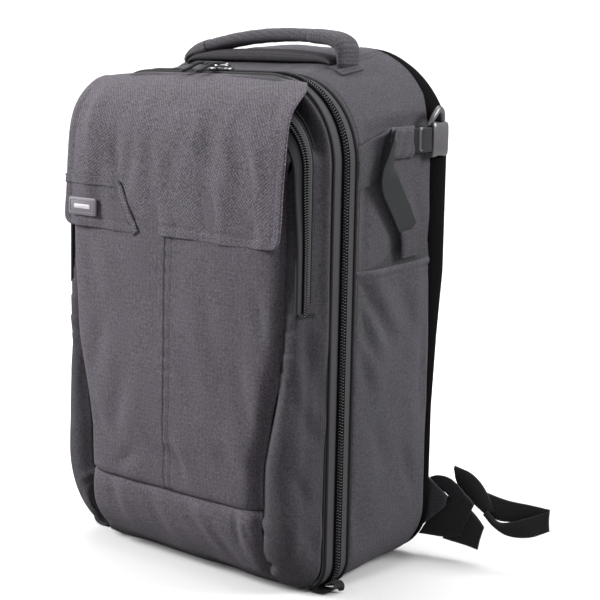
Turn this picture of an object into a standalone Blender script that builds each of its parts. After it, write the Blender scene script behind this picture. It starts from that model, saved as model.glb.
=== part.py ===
"""Padded quadcopter case of the backpack type: a soft box whose front lid opens on a U-shaped zip.

Frame: metres, +X to the wearer's side seen on the right from the front, -Y the front, +Y the back
with the harness, +Z up. The origin lies on the floor under the main compartment, midway across.
"""

import math

import bmesh
import bpy
from mathutils import Matrix, Vector

# ---- driving dimensions, metres ----
HALF_WIDTH = 0.165
ZIP_TOP = 0.494
REAR_TOP = 0.521
ZIP_TOP_RADIUS = 0.082
REAR_TOP_RADIUS = 0.090
FOOT_RADIUS = 0.030
REAR_FOOT_RADIUS = 0.058
ZIP_PLANE = -0.060
SHELL_FRONT = -0.042
SHELL_REAR = 0.079
LID_REAR = -0.0785
GAP = 0.0004

FABRIC = 0.003
LID_FABRIC = 0.0022
FOAM = 0.008
TAPE = 0.0012
COIL_HEIGHT = 0.0025
COIL_HALF = 0.0055
TAPE_WIDTH = 0.0155
WEBBING = 0.025
WEB_THICKNESS = 0.0014
DIVIDER = 0.009

FLAP_HINGE = (0.0, -0.0865, 0.4885)
LID_HINGE = (0.0, ZIP_PLANE, 0.0)
HANDLE_HINGE = (0.0, 0.0060, 0.5130)
STRAP_HINGE = (0.0, 0.1120, 0.4480)
SLIDER_X = 0.002
SLIDER_PITCH = 0.016
PULL_TURNS = {"left": -38.0, "right": -30.0}
SLIDER_BASE_Z = ZIP_TOP + COIL_HEIGHT + 0.0010
BAIL_Z = SLIDER_BASE_Z + 0.0047

# Pocket sections from the lid's edge forward: y, half width, low z, high z, top radius, foot radius.
POCKET_SECTIONS = (
    (LID_REAR, 0.1650, 0.0005, 0.494, 0.082, 0.030),
    (-0.0900, 0.1625, 0.0015, 0.482, 0.070, 0.032),
    (-0.1040, 0.1580, 0.0080, 0.466, 0.055, 0.038),
    (-0.1170, 0.1530, 0.0200, 0.450, 0.045, 0.046),
    (-0.1260, 0.1480, 0.0380, 0.434, 0.040, 0.054),
    (-0.1305, 0.1400, 0.0580, 0.416, 0.038, 0.060),
)
# Half width of the pocket's centre panel at each height, z then x.
PRINCESS_SEAM = ((0.075, 0.121), (0.128, 0.122), (0.177, 0.132), (0.226, 0.143), (0.300, 0.150), (0.520, 0.150))
BAND_TOP = 0.083
# Pocket zip: height and depth up the gusset; its top run follows the pocket's outline at one depth.
POCKET_ZIP_SIDE = ((0.278, -0.1095), (0.310, -0.1085), (0.345, -0.1070), (0.375, -0.1095), (0.394, -0.1125))
POCKET_ZIP_Y = -0.1120
POCKET_ZIP_CLEARANCE = 0.0050
POCKET_SLIDER = (-0.020, -0.1140, 0.4646)
# Flap profile from its hinge to its lower edge: y, z, half width.
FLAP_PROFILE = (
    (-0.0885, 0.4885, 0.136),
    (-0.0960, 0.4850, 0.143),
    (-0.1080, 0.4775, 0.147),
    (-0.1190, 0.4660, 0.149),
    (-0.1270, 0.4510, 0.151),
    (-0.1325, 0.4320, 0.152),
    (-0.1338, 0.4000, 0.152),
    (-0.1338, 0.3375, 0.152),
)

# Padded grip: half of its centre line in X-Z, from its end to the middle, with the width at each point.
GRIP_ARCH = ((0.1120, 0.5130, 0.026), (0.1065, 0.5205, 0.030), (0.0900, 0.5265, 0.032), (0.0500, 0.5325, 0.032))
GRIP_TOP = 0.5340
GRIP_THICKNESS = 0.0095
BASE_BAND_HALF = 0.085

# Dividers: rear and front edges, height of the shelf and of the side shelves, offset of the columns.
DIVIDER_REAR = SHELL_REAR - 0.0150
DIVIDER_FRONT = -0.034
SHELF_Z = 0.372
SIDE_SHELF_Z = 0.190
COLUMN_X = 0.078

# Side pocket: height of its vertical face and the hem's depth and height at front, middle and rear.
SIDE_POCKET_LIFT = 0.0026
SIDE_POCKET_HEM = ((-0.0375, 0.311), (0.0200, 0.314), (0.0770, 0.317))
SIDE_POCKET_THICKNESS = 0.0018
# Fabric wing that anchors the compression strap, Y-Z.
COMPRESSION_WING = ((-0.041, 0.389), (0.020, 0.410), (0.046, 0.411), (0.046, 0.441), (0.020, 0.437), (-0.041, 0.427))
# Release buckle: middle height, half height, then the Y range of socket, of its hollow and of the plug.
BUCKLE_Z = 0.4320
BUCKLE_HALF = 0.0165
BUCKLE_DEPTH = 0.0105
SOCKET_Y = (0.0600, 0.0875)
MOUTH_Y = (0.0500, 0.0840)
PLUG_Y = (0.0410, 0.0825)
# Free tail of the compression strap: y, z, how far it stands off, then its width direction in Y-Z.
TAIL = (
    (0.0385, 0.4300, 0.000, (0.0, 1.0)),
    (0.0200, 0.4290, 0.000, (0.1, 1.0)),
    (0.0050, 0.4230, 0.004, (0.8, 0.7)),
    (-0.0040, 0.4080, 0.006, (1.0, 0.2)),
    (0.0020, 0.3850, 0.005, (1.0, -0.1)),
    (0.0150, 0.3600, 0.003, (1.0, 0.3)),
    (0.0420, 0.3480, 0.002, (0.9, 0.4)),
    (0.0560, 0.3360, 0.001, (1.0, 0.1)),
)

# Shoulder strap's centre line, X out from the middle.
STRAP_PATH = (
    (0.050, 0.1130, 0.4400),
    (0.056, 0.1210, 0.4000),
    (0.066, 0.1250, 0.3400),
    (0.076, 0.1240, 0.2700),
    (0.084, 0.1190, 0.2100),
)
STRAP_WIDTH = 0.066
STRAP_THICKNESS = 0.012
LOCK_X = 0.0865
LOCK_LOW = (-0.0165, 0.1135, 0.1700)
LOCK_HIGH = (0.0165, 0.1195, 0.2020)
# Foot of the harness: fabric wing in X-Z, webbing up to the strap, and the waist web with its width directions.
HARNESS_WING = ((0.118, 0.016), (0.156, 0.020), (0.160, 0.050), (0.142, 0.078), (0.118, 0.078))
HARNESS_WING_REAR = SHELL_REAR + 0.0105
HARNESS_WING_THICKNESS = 0.0025
LOWER_WEB_PATH = ((0.140, 0.0960, 0.082), (0.124, 0.1080, 0.110), (0.098, 0.1150, 0.150), (0.090, 0.1165, 0.1660))
WAIST_WEB = (
    ((0.168, 0.0960, 0.036), (0.0, 0.1, 1.0)),
    ((0.192, 0.1120, 0.024), (0.0, 0.8, 1.0)),
    ((0.222, 0.1300, 0.034), (0.0, 0.5, 1.0)),
    ((0.254, 0.1380, 0.050), (0.0, 0.2, 1.0)),
    ((0.285, 0.1300, 0.056), (0.0, -0.3, 1.0)),
    ((0.293, 0.1200, 0.044), (0.0, -0.5, 1.0)),
    ((0.284, 0.1100, 0.026), (0.0, -0.6, 1.0)),
    ((0.264, 0.1040, 0.018), (0.0, -0.4, 1.0)),
)

COLLECTION = "quadcopter_case"
CUTTERS = "cutters"


# ---- scene, materials and placing ----
def clear_scene():
    for item in list(bpy.data.objects):
        bpy.data.objects.remove(item, do_unlink=True)


def collection(name):
    made = bpy.data.collections.new(name)
    bpy.context.scene.collection.children.link(made)
    return made


def material(name, colour, roughness, metallic=0.0):
    made = bpy.data.materials.new(name)
    made.use_nodes = True
    shader = made.node_tree.nodes["Principled BSDF"]
    shader.inputs["Base Color"].default_value = (*colour, 1.0)
    shader.inputs["Roughness"].default_value = roughness
    shader.inputs["Metallic"].default_value = metallic
    made.diffuse_color = (*colour, 1.0)
    return made


def empty(name, location):
    made = bpy.data.objects.new(name, None)
    made.location = location
    bpy.data.collections[COLLECTION].objects.link(made)
    return made


def place(name, data, finish, parent=None, where=COLLECTION):
    """Link an object whose data is in world coordinates, keeping it in place under its parent."""
    made = bpy.data.objects.new(name, data)
    bpy.data.collections[where].objects.link(made)
    if finish:
        data.materials.append(finish)
    if parent:
        made.parent = parent
        made.matrix_parent_inverse = Matrix.Translation(parent.location).inverted()
    return made


# ---- outlines in the X-Z plane ----
def arc(cx, cz, radius, start, end, steps=5):
    turns = [math.radians(start + (end - start) * i / steps) for i in range(steps + 1)]
    return [(cx + radius * math.cos(t), cz + radius * math.sin(t)) for t in turns]


def perimeter(half, low, high, top_radius, foot_radius):
    """Closed outline of the bag seen from the front, starting at the right foot."""
    right = arc(half - foot_radius, low + foot_radius, foot_radius, -90, 0)
    right += arc(half - top_radius, high - top_radius, top_radius, 0, 90)
    return right + [(-x, z) for x, z in reversed(right)]


def arch(half, low, high, top_radius, foot_radius=0.0, foot_turn=0.0):
    """Open outline up the right side, over the top and down the left side."""
    right = [(half, low)]
    if foot_turn:
        right = arc(half - foot_radius, foot_radius + low, foot_radius, -foot_turn, 0, 3)
    right += arc(half - top_radius, high - top_radius, top_radius, 0, 90, 7)
    return right + [(-x, z) for x, z in reversed(right)]


def rounded_rectangle(x0, z0, x1, z1, radius, steps=4):
    corners = ((x1, z0, -90), (x1, z1, 0), (x0, z1, 90), (x0, z0, 180))
    points = []
    for x, z, turn in corners:
        cx = x - math.copysign(radius, x - (x0 + x1) / 2)
        cz = z - math.copysign(radius, z - (z0 + z1) / 2)
        points += arc(cx, cz, radius, turn, turn + 90, steps)
    return points


# ---- solid makers ----
def sheet(name, rows, thickness, finish, parent=None, closed=False, capped=False, centre=(0.0, 0.02, 0.25)):
    """Fabric through rows of 3-D points, thickened towards the inside of the bag."""
    mesh = bpy.data.meshes.new(name)
    bm = bmesh.new()
    grid = [[bm.verts.new(point) for point in row] for row in rows]
    width = len(rows[0])
    columns = width if closed else width - 1
    for near, far in zip(grid, grid[1:]):
        for i in range(columns):
            j = (i + 1) % width
            bm.faces.new((near[i], near[j], far[j], far[i]))
    if capped:
        bm.faces.new(grid[-1])
    bmesh.ops.recalc_face_normals(bm, faces=bm.faces)
    bm.normal_update()
    inside = Vector(centre)
    facing = sum((f.normal.dot(f.calc_center_median() - inside) * f.calc_area() for f in bm.faces), 0.0)
    if facing < 0:
        bmesh.ops.reverse_faces(bm, faces=bm.faces)
    bm.to_mesh(mesh)
    bm.free()
    made = place(name, mesh, finish, parent)
    solid = made.modifiers.new("thickness", "SOLIDIFY")
    solid.thickness = thickness
    solid.offset = -1.0
    solid.use_even_offset = True
    return made


def ring_rows(sections, outline):
    return [[(x, section[0], z) for x, z in outline(section)] for section in sections]


def slab(name, outline, y0, y1, finish, parent=None, holes=()):
    """Flat plate: an outline in X-Z filled and extruded from y0 to y1."""
    curve = bpy.data.curves.new(name, "CURVE")
    curve.dimensions = "2D"
    curve.fill_mode = "BOTH"
    curve.extrude = abs(y1 - y0) / 2
    for points in (outline, *holes):
        spline = curve.splines.new("POLY")
        spline.points.add(len(points) - 1)
        spline.use_cyclic_u = True
        for target, (x, z) in zip(spline.points, points):
            target.co = (x, z, 0.0, 1.0)
    made = place(name, curve, finish)
    made.rotation_euler = (math.pi / 2, 0.0, 0.0)
    made.location = (0.0, (y0 + y1) / 2, 0.0)
    attach(made, parent)
    return made


def side_slab(name, outline, x0, x1, finish, parent=None, holes=()):
    """Flat plate: an outline in Y-Z filled and extruded from x0 to x1."""
    made = slab(name, outline, x0, x1, finish, holes=holes)
    made.rotation_euler = (math.pi / 2, 0.0, math.pi / 2)
    made.location = ((x0 + x1) / 2, 0.0, 0.0)
    attach(made, parent)
    return made


def attach(made, parent):
    if parent:
        made.parent = parent
        made.matrix_parent_inverse = Matrix.Translation(parent.location).inverted()


def block(name, low, high, finish, parent=None, bevel=0.002, where=COLLECTION):
    """Rounded box between two corners."""
    mesh = bpy.data.meshes.new(name)
    bm = bmesh.new()
    bmesh.ops.create_cube(bm, size=1.0)
    size = Vector(high) - Vector(low)
    middle = (Vector(high) + Vector(low)) / 2
    bmesh.ops.scale(bm, vec=size, verts=bm.verts)
    bmesh.ops.translate(bm, vec=middle, verts=bm.verts)
    bm.to_mesh(mesh)
    bm.free()
    made = place(name, mesh, finish, parent, where)
    if bevel:
        rounding = made.modifiers.new("edges", "BEVEL")
        rounding.width = bevel
        rounding.segments = 2
    return made


def rod(name, points, radius, finish, parent=None, cyclic=False):
    curve = bpy.data.curves.new(name, "CURVE")
    curve.dimensions = "3D"
    curve.bevel_depth = radius
    curve.bevel_resolution = 1
    curve.use_fill_caps = True
    spline = curve.splines.new("POLY")
    spline.points.add(len(points) - 1)
    spline.use_cyclic_u = cyclic
    for target, point in zip(spline.points, points):
        target.co = (*point, 1.0)
    made = place(name, curve, finish)
    attach(made, parent)
    return made


def ribbon(name, path, across, finish, parent=None, width=WEBBING, thickness=WEB_THICKNESS):
    """Webbing along a path; across holds the width direction at every point."""
    widths = width if isinstance(width, list) else [width] * len(path)
    rows = []
    for point, way, wide in zip(path, across, widths):
        half = Vector(way).normalized() * wide / 2
        rows.append([tuple(Vector(point) - half), tuple(Vector(point) + half)])
    made = sheet(name, rows, thickness, finish, parent)
    made.modifiers["thickness"].offset = 0.0
    return made


def boolean(target, other, operation):
    cut = target.modifiers.new(other.name, "BOOLEAN")
    cut.operation = operation
    cut.object = other
    cut.solver = "EXACT"


def cutter(made):
    made.hide_render = True
    made.display_type = "WIRE"
    return made


# ---- main compartment ----
def shell_section(y):
    """Height, top radius and foot radius of the fabric box at a depth: it grows towards the harness."""
    part = (y - ZIP_PLANE) / (SHELL_REAR - ZIP_PLANE)
    top = ZIP_TOP + (REAR_TOP - ZIP_TOP) * part
    radius = ZIP_TOP_RADIUS + (REAR_TOP_RADIUS - ZIP_TOP_RADIUS) * part
    foot = FOOT_RADIUS + (REAR_FOOT_RADIUS - FOOT_RADIUS) * part
    return y, top, radius, foot


def build_shell(skins):
    sections = [shell_section(y) for y in (SHELL_FRONT, 0.0, SHELL_REAR)]
    rows = ring_rows(sections, lambda s: perimeter(HALF_WIDTH, 0.0, *s[1:]))
    sheet("shell_wall", rows, FABRIC, skins["side"], closed=True)
    slab("shell_back", back_outline(FABRIC + GAP), SHELL_REAR - 0.0035, SHELL_REAR, skins["lining"])
    slab("frame_sheet", back_outline(0.006), SHELL_REAR - 0.0058, SHELL_REAR - 0.0039, skins["plastic"])
    slab("back_foam", back_outline(0.006), SHELL_REAR - 0.0142, SHELL_REAR - 0.0062, skins["foam"])


def back_outline(inset):
    """Outline of the plates that close the back, inset from the fabric's outer face."""
    high = shell_section(SHELL_REAR - 0.0145)[1] - inset
    return perimeter(HALF_WIDTH - inset, inset, high, REAR_TOP_RADIUS, REAR_FOOT_RADIUS)


def build_liner(skins):
    """Foam wall that lines the sides, top and floor inside the fabric."""
    inset = FABRIC + GAP
    sections = [shell_section(y) for y in (SHELL_FRONT, 0.0, SHELL_REAR - 0.0165)]
    rows = ring_rows(sections, lambda s: perimeter(HALF_WIDTH - inset, inset, s[1] - inset, s[2], s[3] - inset))
    sheet("foam_liner", rows, FOAM, skins["foam"], closed=True)


def build_dividers(skins):
    """Padded walls held to the lining by hook-and-loop edges."""
    wall = HALF_WIDTH - FABRIC - FOAM - 0.0012
    floor = FABRIC + FOAM + 0.0012
    half = DIVIDER / 2
    top = SHELF_Z - half - GAP
    for side, name in ((-1, "left"), (1, "right")):
        x = side * COLUMN_X
        block(f"divider_column_{name}", (x - half, DIVIDER_FRONT, floor), (x + half, DIVIDER_REAR, top),
              skins["divider"])
        inner, outer = sorted((side * (COLUMN_X + half + GAP), side * wall))
        low = (inner, DIVIDER_FRONT, SIDE_SHELF_Z - half)
        high = (outer, DIVIDER_REAR, SIDE_SHELF_Z + half)
        block(f"divider_side_{name}", low, high, skins["divider"])
    block("divider_shelf", (-wall, DIVIDER_FRONT, SHELF_Z - half), (wall, DIVIDER_REAR, SHELF_Z + half),
          skins["divider"])


def build_back(skins):
    """Harness side: padded panel, its air-mesh pad, the strap yoke and the bound edge."""
    y0 = SHELL_REAR + GAP
    y1 = y0 + 0.006
    slab("back_panel", back_outline(0.0095), y0, y1, skins["side"])
    pad_y = SHELL_REAR + 0.0092
    half = HALF_WIDTH - 0.0030
    slab("back_pad", rounded_rectangle(-half, 0.245, half, 0.480, 0.045), pad_y, pad_y + 0.0095, skins["mesh"])
    yoke_y = pad_y + 0.0100
    slab("strap_yoke", rounded_rectangle(-0.078, 0.4180, 0.078, 0.468, 0.012), yoke_y, yoke_y + 0.005, skins["side"])
    edge = arch(HALF_WIDTH - 0.0045, 0.004, REAR_TOP - 0.0045, REAR_TOP_RADIUS, REAR_FOOT_RADIUS, 75)
    rod("rear_binding", [(x, SHELL_REAR + 0.0045, z) for x, z in edge], 0.0042, skins["webbing"])


# ---- zips ----
def zip_tape(name, y0, y1, finish, parent=None):
    rows = ring_rows(((y0,), (y1,)), lambda s: arch(HALF_WIDTH, 0.0008, ZIP_TOP, ZIP_TOP_RADIUS, FOOT_RADIUS, 55))
    sheet(name, rows, TAPE, finish, parent)


def zip_coil(name, y0, y1, finish, parent=None):
    half = HALF_WIDTH + COIL_HEIGHT + GAP
    top = ZIP_TOP + COIL_HEIGHT + GAP
    radius = ZIP_TOP_RADIUS + COIL_HEIGHT + GAP
    foot = FOOT_RADIUS + COIL_HEIGHT + GAP
    rows = ring_rows(((y0,), (y1,)), lambda s: arch(half, -0.0020, top, radius, foot, 50))
    sheet(name, rows, COIL_HEIGHT, finish, parent)


def build_main_zip(skins, lid):
    """Two tapes, each with half of the interlocking coil."""
    near = 0.0002
    zip_tape("shell_zip_tape", ZIP_PLANE + near, ZIP_PLANE + near + TAPE_WIDTH, skins["tape"])
    zip_tape("lid_zip_tape", ZIP_PLANE - near - TAPE_WIDTH, ZIP_PLANE - near, skins["tape"], lid)
    zip_coil("shell_zip_coil", ZIP_PLANE + near, ZIP_PLANE + COIL_HALF, skins["coil"])
    zip_coil("lid_zip_coil", ZIP_PLANE - COIL_HALF, ZIP_PLANE - near, skins["coil"], lid)


def slider(name, x, finish, parent):
    """Zip slider: a flat body with a bail that the pull ring threads."""
    z = SLIDER_BASE_Z
    y = ZIP_PLANE
    made = block(name, (x - 0.0050, y - 0.0058, z), (x + 0.0050, y + 0.0058, z + 0.0032), finish, parent, 0.0008)
    bail = rounded_rectangle(y - 0.0045, z + 0.0026, y + 0.0045, z + 0.0068, 0.0014, 3)
    window = rounded_rectangle(y - 0.0032, z + 0.0034, y + 0.0032, z + 0.0058, 0.0008, 3)
    curve = side_slab(name + "_bail", bail, x - 0.0011, x + 0.0011, None, holes=(window,))
    joined = cutter(welded_mesh(curve, name + "_bail"))
    boolean(made, joined, "UNION")


def welded_mesh(curve, name):
    """Turn a curve object into a mesh object with its caps welded, for use in a Boolean."""
    bpy.context.view_layer.update()
    shape = bpy.data.meshes.new_from_object(curve.evaluated_get(bpy.context.evaluated_depsgraph_get()))
    bm = bmesh.new()
    bm.from_mesh(shape)
    bmesh.ops.remove_doubles(bm, verts=bm.verts, dist=0.00001)
    bm.to_mesh(shape)
    bm.free()
    where = curve.matrix_world.copy()
    bpy.data.objects.remove(curve, do_unlink=True)
    made = bpy.data.objects.new(name + "_solid", shape)
    bpy.data.collections[CUTTERS].objects.link(made)
    made.matrix_world = where
    return made


def pull(name, x, turn, skins, parent):
    """Metal ring through the bail, and a moulded cord loop through the ring."""
    way = Vector((math.sin(turn), -math.cos(turn), 0.0))
    across = Vector((-way.y, way.x, 0.0))
    start = Vector((x, ZIP_PLANE, BAIL_Z))
    ring = 0.0052
    middle = start + way * ring
    points = [middle + (way * math.cos(t) + across * math.sin(t)) * ring for t in spread(14)]
    rod(f"{name}_ring", points, 0.0008, skins["metal"], parent, cyclic=True)
    middle = start + way * 0.0215
    loop = [middle + way * 0.0135 * math.cos(t) + across * 0.0042 * math.sin(t) for t in spread(16)]
    lift = Vector((0.0, 0.0, 0.0026))
    rod(f"{name}_cord", [point + lift for point in loop], 0.0014, skins["webbing"], parent, cyclic=True)


def spread(count):
    return [2 * math.pi * i / count for i in range(count)]


# ---- lid with its front pocket ----
def princess_x(z):
    for (z0, x0), (z1, x1) in zip(PRINCESS_SEAM, PRINCESS_SEAM[1:]):
        if z <= z1:
            return x0 + (x1 - x0) * (z - z0) / (z1 - z0)
    return PRINCESS_SEAM[-1][1]


def pocket_loft(name, finish, parent):
    rows = ring_rows(POCKET_SECTIONS, lambda s: perimeter(*s[1:]))
    return sheet(name, rows, LID_FABRIC, finish, parent, closed=True, capped=True)


def build_pocket(skins, lid):
    """Four cut panels of one curved pocket front, parted along the princess seams and the band seam."""
    half_gap = GAP / 2
    heights = [BAND_TOP + half_gap, 0.105, 0.128, 0.150, 0.177, 0.200, 0.226, 0.262, 0.300, 0.520]
    right = [(princess_x(z) - half_gap, z) for z in heights]
    centre = right + [(-x, z) for x, z in reversed(right)]
    low = [(0.148, -0.010), (0.134, 0.020), (0.124, 0.050), (0.121, BAND_TOP - half_gap)]
    band = [(x - half_gap, z) for x, z in low]
    band += [(-x, z) for x, z in reversed(band)]
    wing = [(x + half_gap, z) for x, z in low[:-1]]
    wing += [(princess_x(z) + half_gap, z) for z in [BAND_TOP] + heights[1:]]
    wing += [(0.200, 0.520), (0.200, -0.010)]
    shapes = {
        "pocket_centre": (centre, "ripstop"),
        "pocket_band": (band, "ripstop"),
        "pocket_wing_right": (wing, "wing"),
        "pocket_wing_left": ([(-x, z) for x, z in wing], "wing"),
    }
    for name, (outline, skin) in shapes.items():
        made = pocket_loft(name, skins[skin], lid)
        prism = slab(name + "_cut", outline, -0.150, -0.060, None)
        solid = cutter(welded_mesh(prism, name + "_cut"))
        boolean(made, solid, "INTERSECT")


def build_lid(skins, lid):
    inset = LID_FABRIC + GAP
    wall = perimeter(HALF_WIDTH - inset, 0.004, ZIP_TOP - inset, ZIP_TOP_RADIUS, FOOT_RADIUS)
    slab("lid_panel", wall, -0.0745 - GAP, -0.0695, skins["divider"], lid)
    for name, z0, z1 in (("upper", 0.262, 0.452), ("lower", 0.036, 0.244)):
        outline = rounded_rectangle(-0.138, z0, 0.138, z1, 0.012)
        slab(f"lid_mesh_pocket_{name}", outline, -0.0691, -0.0677, skins["mesh"], lid)
    block("lid_hinge_strip", (-0.130, -0.0776, 0.0006), (0.130, -0.0430, 0.0018), skins["side"], lid, 0.0)


def section_at(y):
    """Half width, low z, high z, top radius and foot radius of the pocket at a depth."""
    for (y0, *near), (y1, *far) in zip(POCKET_SECTIONS, POCKET_SECTIONS[1:]):
        if y >= y1:
            break
    part = (y - y0) / (y1 - y0)
    return [a + (b - a) * part for a, b in zip(near, far)]


def gusset_x(y, z):
    """Half width of the pocket's surface at a depth and height on its gusset."""
    half, _, high, radius, _ = section_at(y)
    rise = max(z - (high - radius), 0.0)
    return half - radius + math.sqrt(radius * radius - rise * rise)


def build_pocket_zip(skins, lid, slide):
    """Coil up the right gusset, across under the flap and down the left gusset, with its slider."""
    right = [(gusset_x(y, z) + 0.0034, y, z) for z, y in POCKET_ZIP_SIDE]
    half, _, high, radius, _ = section_at(POCKET_ZIP_Y)
    turn = arc(half - radius, high - radius, radius + POCKET_ZIP_CLEARANCE, 10, 90, 6)
    right += [(x, POCKET_ZIP_Y, z) for x, z in turn]
    path = right + [(-x, y, z) for x, y, z in reversed(right)]
    rod("pocket_zip", path, 0.0022, skins["coil"], lid)
    x, y, z = POCKET_SLIDER
    body = block("pocket_slider", (x - 0.0045, -0.0050, -0.0013), (x + 0.0045, 0.0050, 0.0013), skins["metal"],
                 None, 0.0006)
    body.rotation_euler = (math.radians(55.0), 0.0, 0.0)
    body.location = (0.0, y, z)
    attach(body, slide)
    down = Vector((0.0, -0.565, -0.825))
    middle = Vector((x, y, z)) + down * 0.0104
    loop = [middle + down * 0.0044 * math.cos(t) + Vector((0.0022 * math.sin(t), 0.0, 0.0)) for t in spread(12)]
    rod("pocket_pull", loop, 0.0008, skins["webbing"], slide, cyclic=True)


# ---- flap over the pocket ----
def build_flap(skins, flap):
    rows = []
    for y, z, half in FLAP_PROFILE:
        rows.append([(half * part, y, z) for part in (-1.0, -0.5, 0.0, 0.5, 1.0)])
    sheet("flap", rows, 0.0020, skins["flap"], flap, centre=(0.0, -0.05, 0.40))
    front = FLAP_PROFILE[-1][0]
    insert = [(-0.149, 0.3390), (-0.036, 0.3390), (-0.063, 0.3800), (-0.149, 0.3800)]
    slab("flap_insert", insert, front - 0.0011, front - GAP, skins["ripstop"], flap)
    badge = rounded_rectangle(-0.134, 0.3490, -0.092, 0.3670, 0.002)
    slab("flap_badge", badge, front - 0.0031, front - 0.0015, skins["rubber"], flap)


# ---- top handle ----
def build_handle(skins, handle):
    """Padded grip bowed over the band that is sewn flat to the top."""
    y = HANDLE_HINGE[1]
    left = [(-x, z, width) for x, z, width in GRIP_ARCH]
    line = left + [(0.0, GRIP_TOP, GRIP_ARCH[-1][2])] + list(reversed(GRIP_ARCH))
    grip = [(x, y, z) for x, z, _ in line]
    widths = [width for *_, width in line]
    ribbon("handle_grip", grip, [(0.0, 1.0, 0.0)] * len(grip), skins["flap"], handle, widths, GRIP_THICKNESS)
    rise = (REAR_TOP - ZIP_TOP) / (SHELL_REAR - ZIP_PLANE)
    rows = []
    for edge in (y - 0.013, y + 0.013):
        z = ZIP_TOP + (edge - ZIP_PLANE) * rise + GAP
        rows.append([(x, edge, z) for x in (-BASE_BAND_HALF, 0.0, BASE_BAND_HALF)])
    band = sheet("handle_base_band", rows, WEB_THICKNESS, skins["webbing"])
    band.modifiers["thickness"].offset = 1.0


# ---- sides ----
def build_side(side, name, skins, plug):
    """Open-topped side pocket, and the compression strap with its release buckle."""
    wall = HALF_WIDTH + 0.0005
    face = wall + SIDE_POCKET_LIFT
    foot = FOOT_RADIUS + SIDE_POCKET_LIFT
    column = [(face - foot + foot * math.cos(t), foot - SIDE_POCKET_LIFT + foot * math.sin(t))
              for t in (math.radians(turn) for turn in (-50, -30, -12, 0))]
    column += [(face, 0.120), (face + 0.002, 0.220)]
    rows = [[(side * x, y, z) for x, z in column + [(face, hem)]] for y, hem in SIDE_POCKET_HEM]
    sheet(f"side_pocket_{name}", rows, SIDE_POCKET_THICKNESS, skins["side"])
    x0, x1 = sorted((side * wall, side * (wall + 0.0010)))
    side_slab(f"compression_wing_{name}", COMPRESSION_WING, x0, x1, skins["side"])
    build_buckle(side, name, HALF_WIDTH + 0.0019, skins, plug)


def build_buckle(side, name, out, skins, plug):
    """Side-release buckle at the rear corner, with the strap's free tail."""

    def corners(inner, outer, span, inset):
        x0, x1 = sorted((side * (out + inner), side * (out + outer)))
        return (x0, span[0], BUCKLE_Z - BUCKLE_HALF + inset), (x1, span[1], BUCKLE_Z + BUCKLE_HALF - inset)

    socket = block(f"buckle_socket_{name}", *corners(0.0, BUCKLE_DEPTH, SOCKET_Y, 0.0), skins["gloss"], None, 0.0022)
    hollow = corners(0.0020, BUCKLE_DEPTH - 0.0020, MOUTH_Y, 0.0030)
    mouth = block(f"buckle_mouth_{name}", *hollow, None, None, 0.0, CUTTERS)
    boolean(socket, cutter(mouth), "DIFFERENCE")
    tongue = corners(0.0028, BUCKLE_DEPTH - 0.0028, PLUG_Y, 0.0042)
    block(f"buckle_plug_{name}", *tongue, skins["gloss"], plug, 0.0012)
    web_x = side * (out + BUCKLE_DEPTH - 0.0038)
    path = [(web_x + side * lift, y, z) for y, z, lift, _ in TAIL]
    across = [(0.0, *way) for *_, way in TAIL]
    ribbon(f"compression_web_{name}", path, across, skins["webbing"], plug)


# ---- harness ----
def build_strap(side, name, skins, strap, lock):
    path = [(side * x, y, z) for x, y, z in STRAP_PATH]
    across = [(1.0, 0.0, 0.15 * side)] * len(path)
    ribbon(f"shoulder_strap_{name}", path, across, skins["mesh"], strap, STRAP_WIDTH, STRAP_THICKNESS)
    middle = Vector((side * LOCK_X, 0.0, 0.0))
    low, high = middle + Vector(LOCK_LOW), middle + Vector(LOCK_HIGH)
    block(f"ladder_lock_{name}", low, high, skins["gloss"], lock, 0.0018)


def build_lower_harness(side, name, skins):
    """Fabric wing at the foot, webbing up to the strap and the waist web lying on the floor."""
    wing = [(side * x, z) for x, z in HARNESS_WING]
    rear = HARNESS_WING_REAR
    slab(f"harness_wing_{name}", wing, rear, rear + HARNESS_WING_THICKNESS, skins["webbing"])
    path = [(side * x, y, z) for x, y, z in LOWER_WEB_PATH]
    ribbon(f"lower_web_{name}", path, [(1.0, 0.0, 0.35 * side)] * len(path), skins["webbing"])
    path = [(side * x, y, z) for (x, y, z), _ in WAIST_WEB]
    ribbon(f"waist_web_{name}", path, [way for _, way in WAIST_WEB], skins["webbing"])


def finishes():
    return {
        "side": material("oxford_fabric", (0.075, 0.070, 0.082), 0.85),
        "wing": material("wing_fabric", (0.082, 0.074, 0.088), 0.85),
        "flap": material("ballistic_nylon", (0.120, 0.105, 0.122), 0.75),
        "ripstop": material("ripstop_nylon", (0.100, 0.088, 0.104), 0.80),
        "lining": material("lining_fabric", (0.055, 0.055, 0.060), 0.90),
        "divider": material("divider_velour", (0.160, 0.165, 0.175), 0.95),
        "foam": material("closed_cell_foam", (0.110, 0.110, 0.115), 0.95),
        "mesh": material("air_mesh", (0.035, 0.035, 0.038), 0.95),
        "tape": material("zip_tape", (0.080, 0.080, 0.088), 0.80),
        "coil": material("nylon_coil", (0.030, 0.030, 0.034), 0.45),
        "webbing": material("black_webbing", (0.012, 0.012, 0.014), 0.80),
        "gloss": material("acetal_plastic", (0.060, 0.062, 0.066), 0.30),
        "plastic": material("frame_plastic", (0.020, 0.020, 0.022), 0.50),
        "metal": material("gunmetal", (0.300, 0.300, 0.310), 0.30, 1.0),
        "rubber": material("badge_rubber", (0.040, 0.040, 0.044), 0.60),
    }


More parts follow.
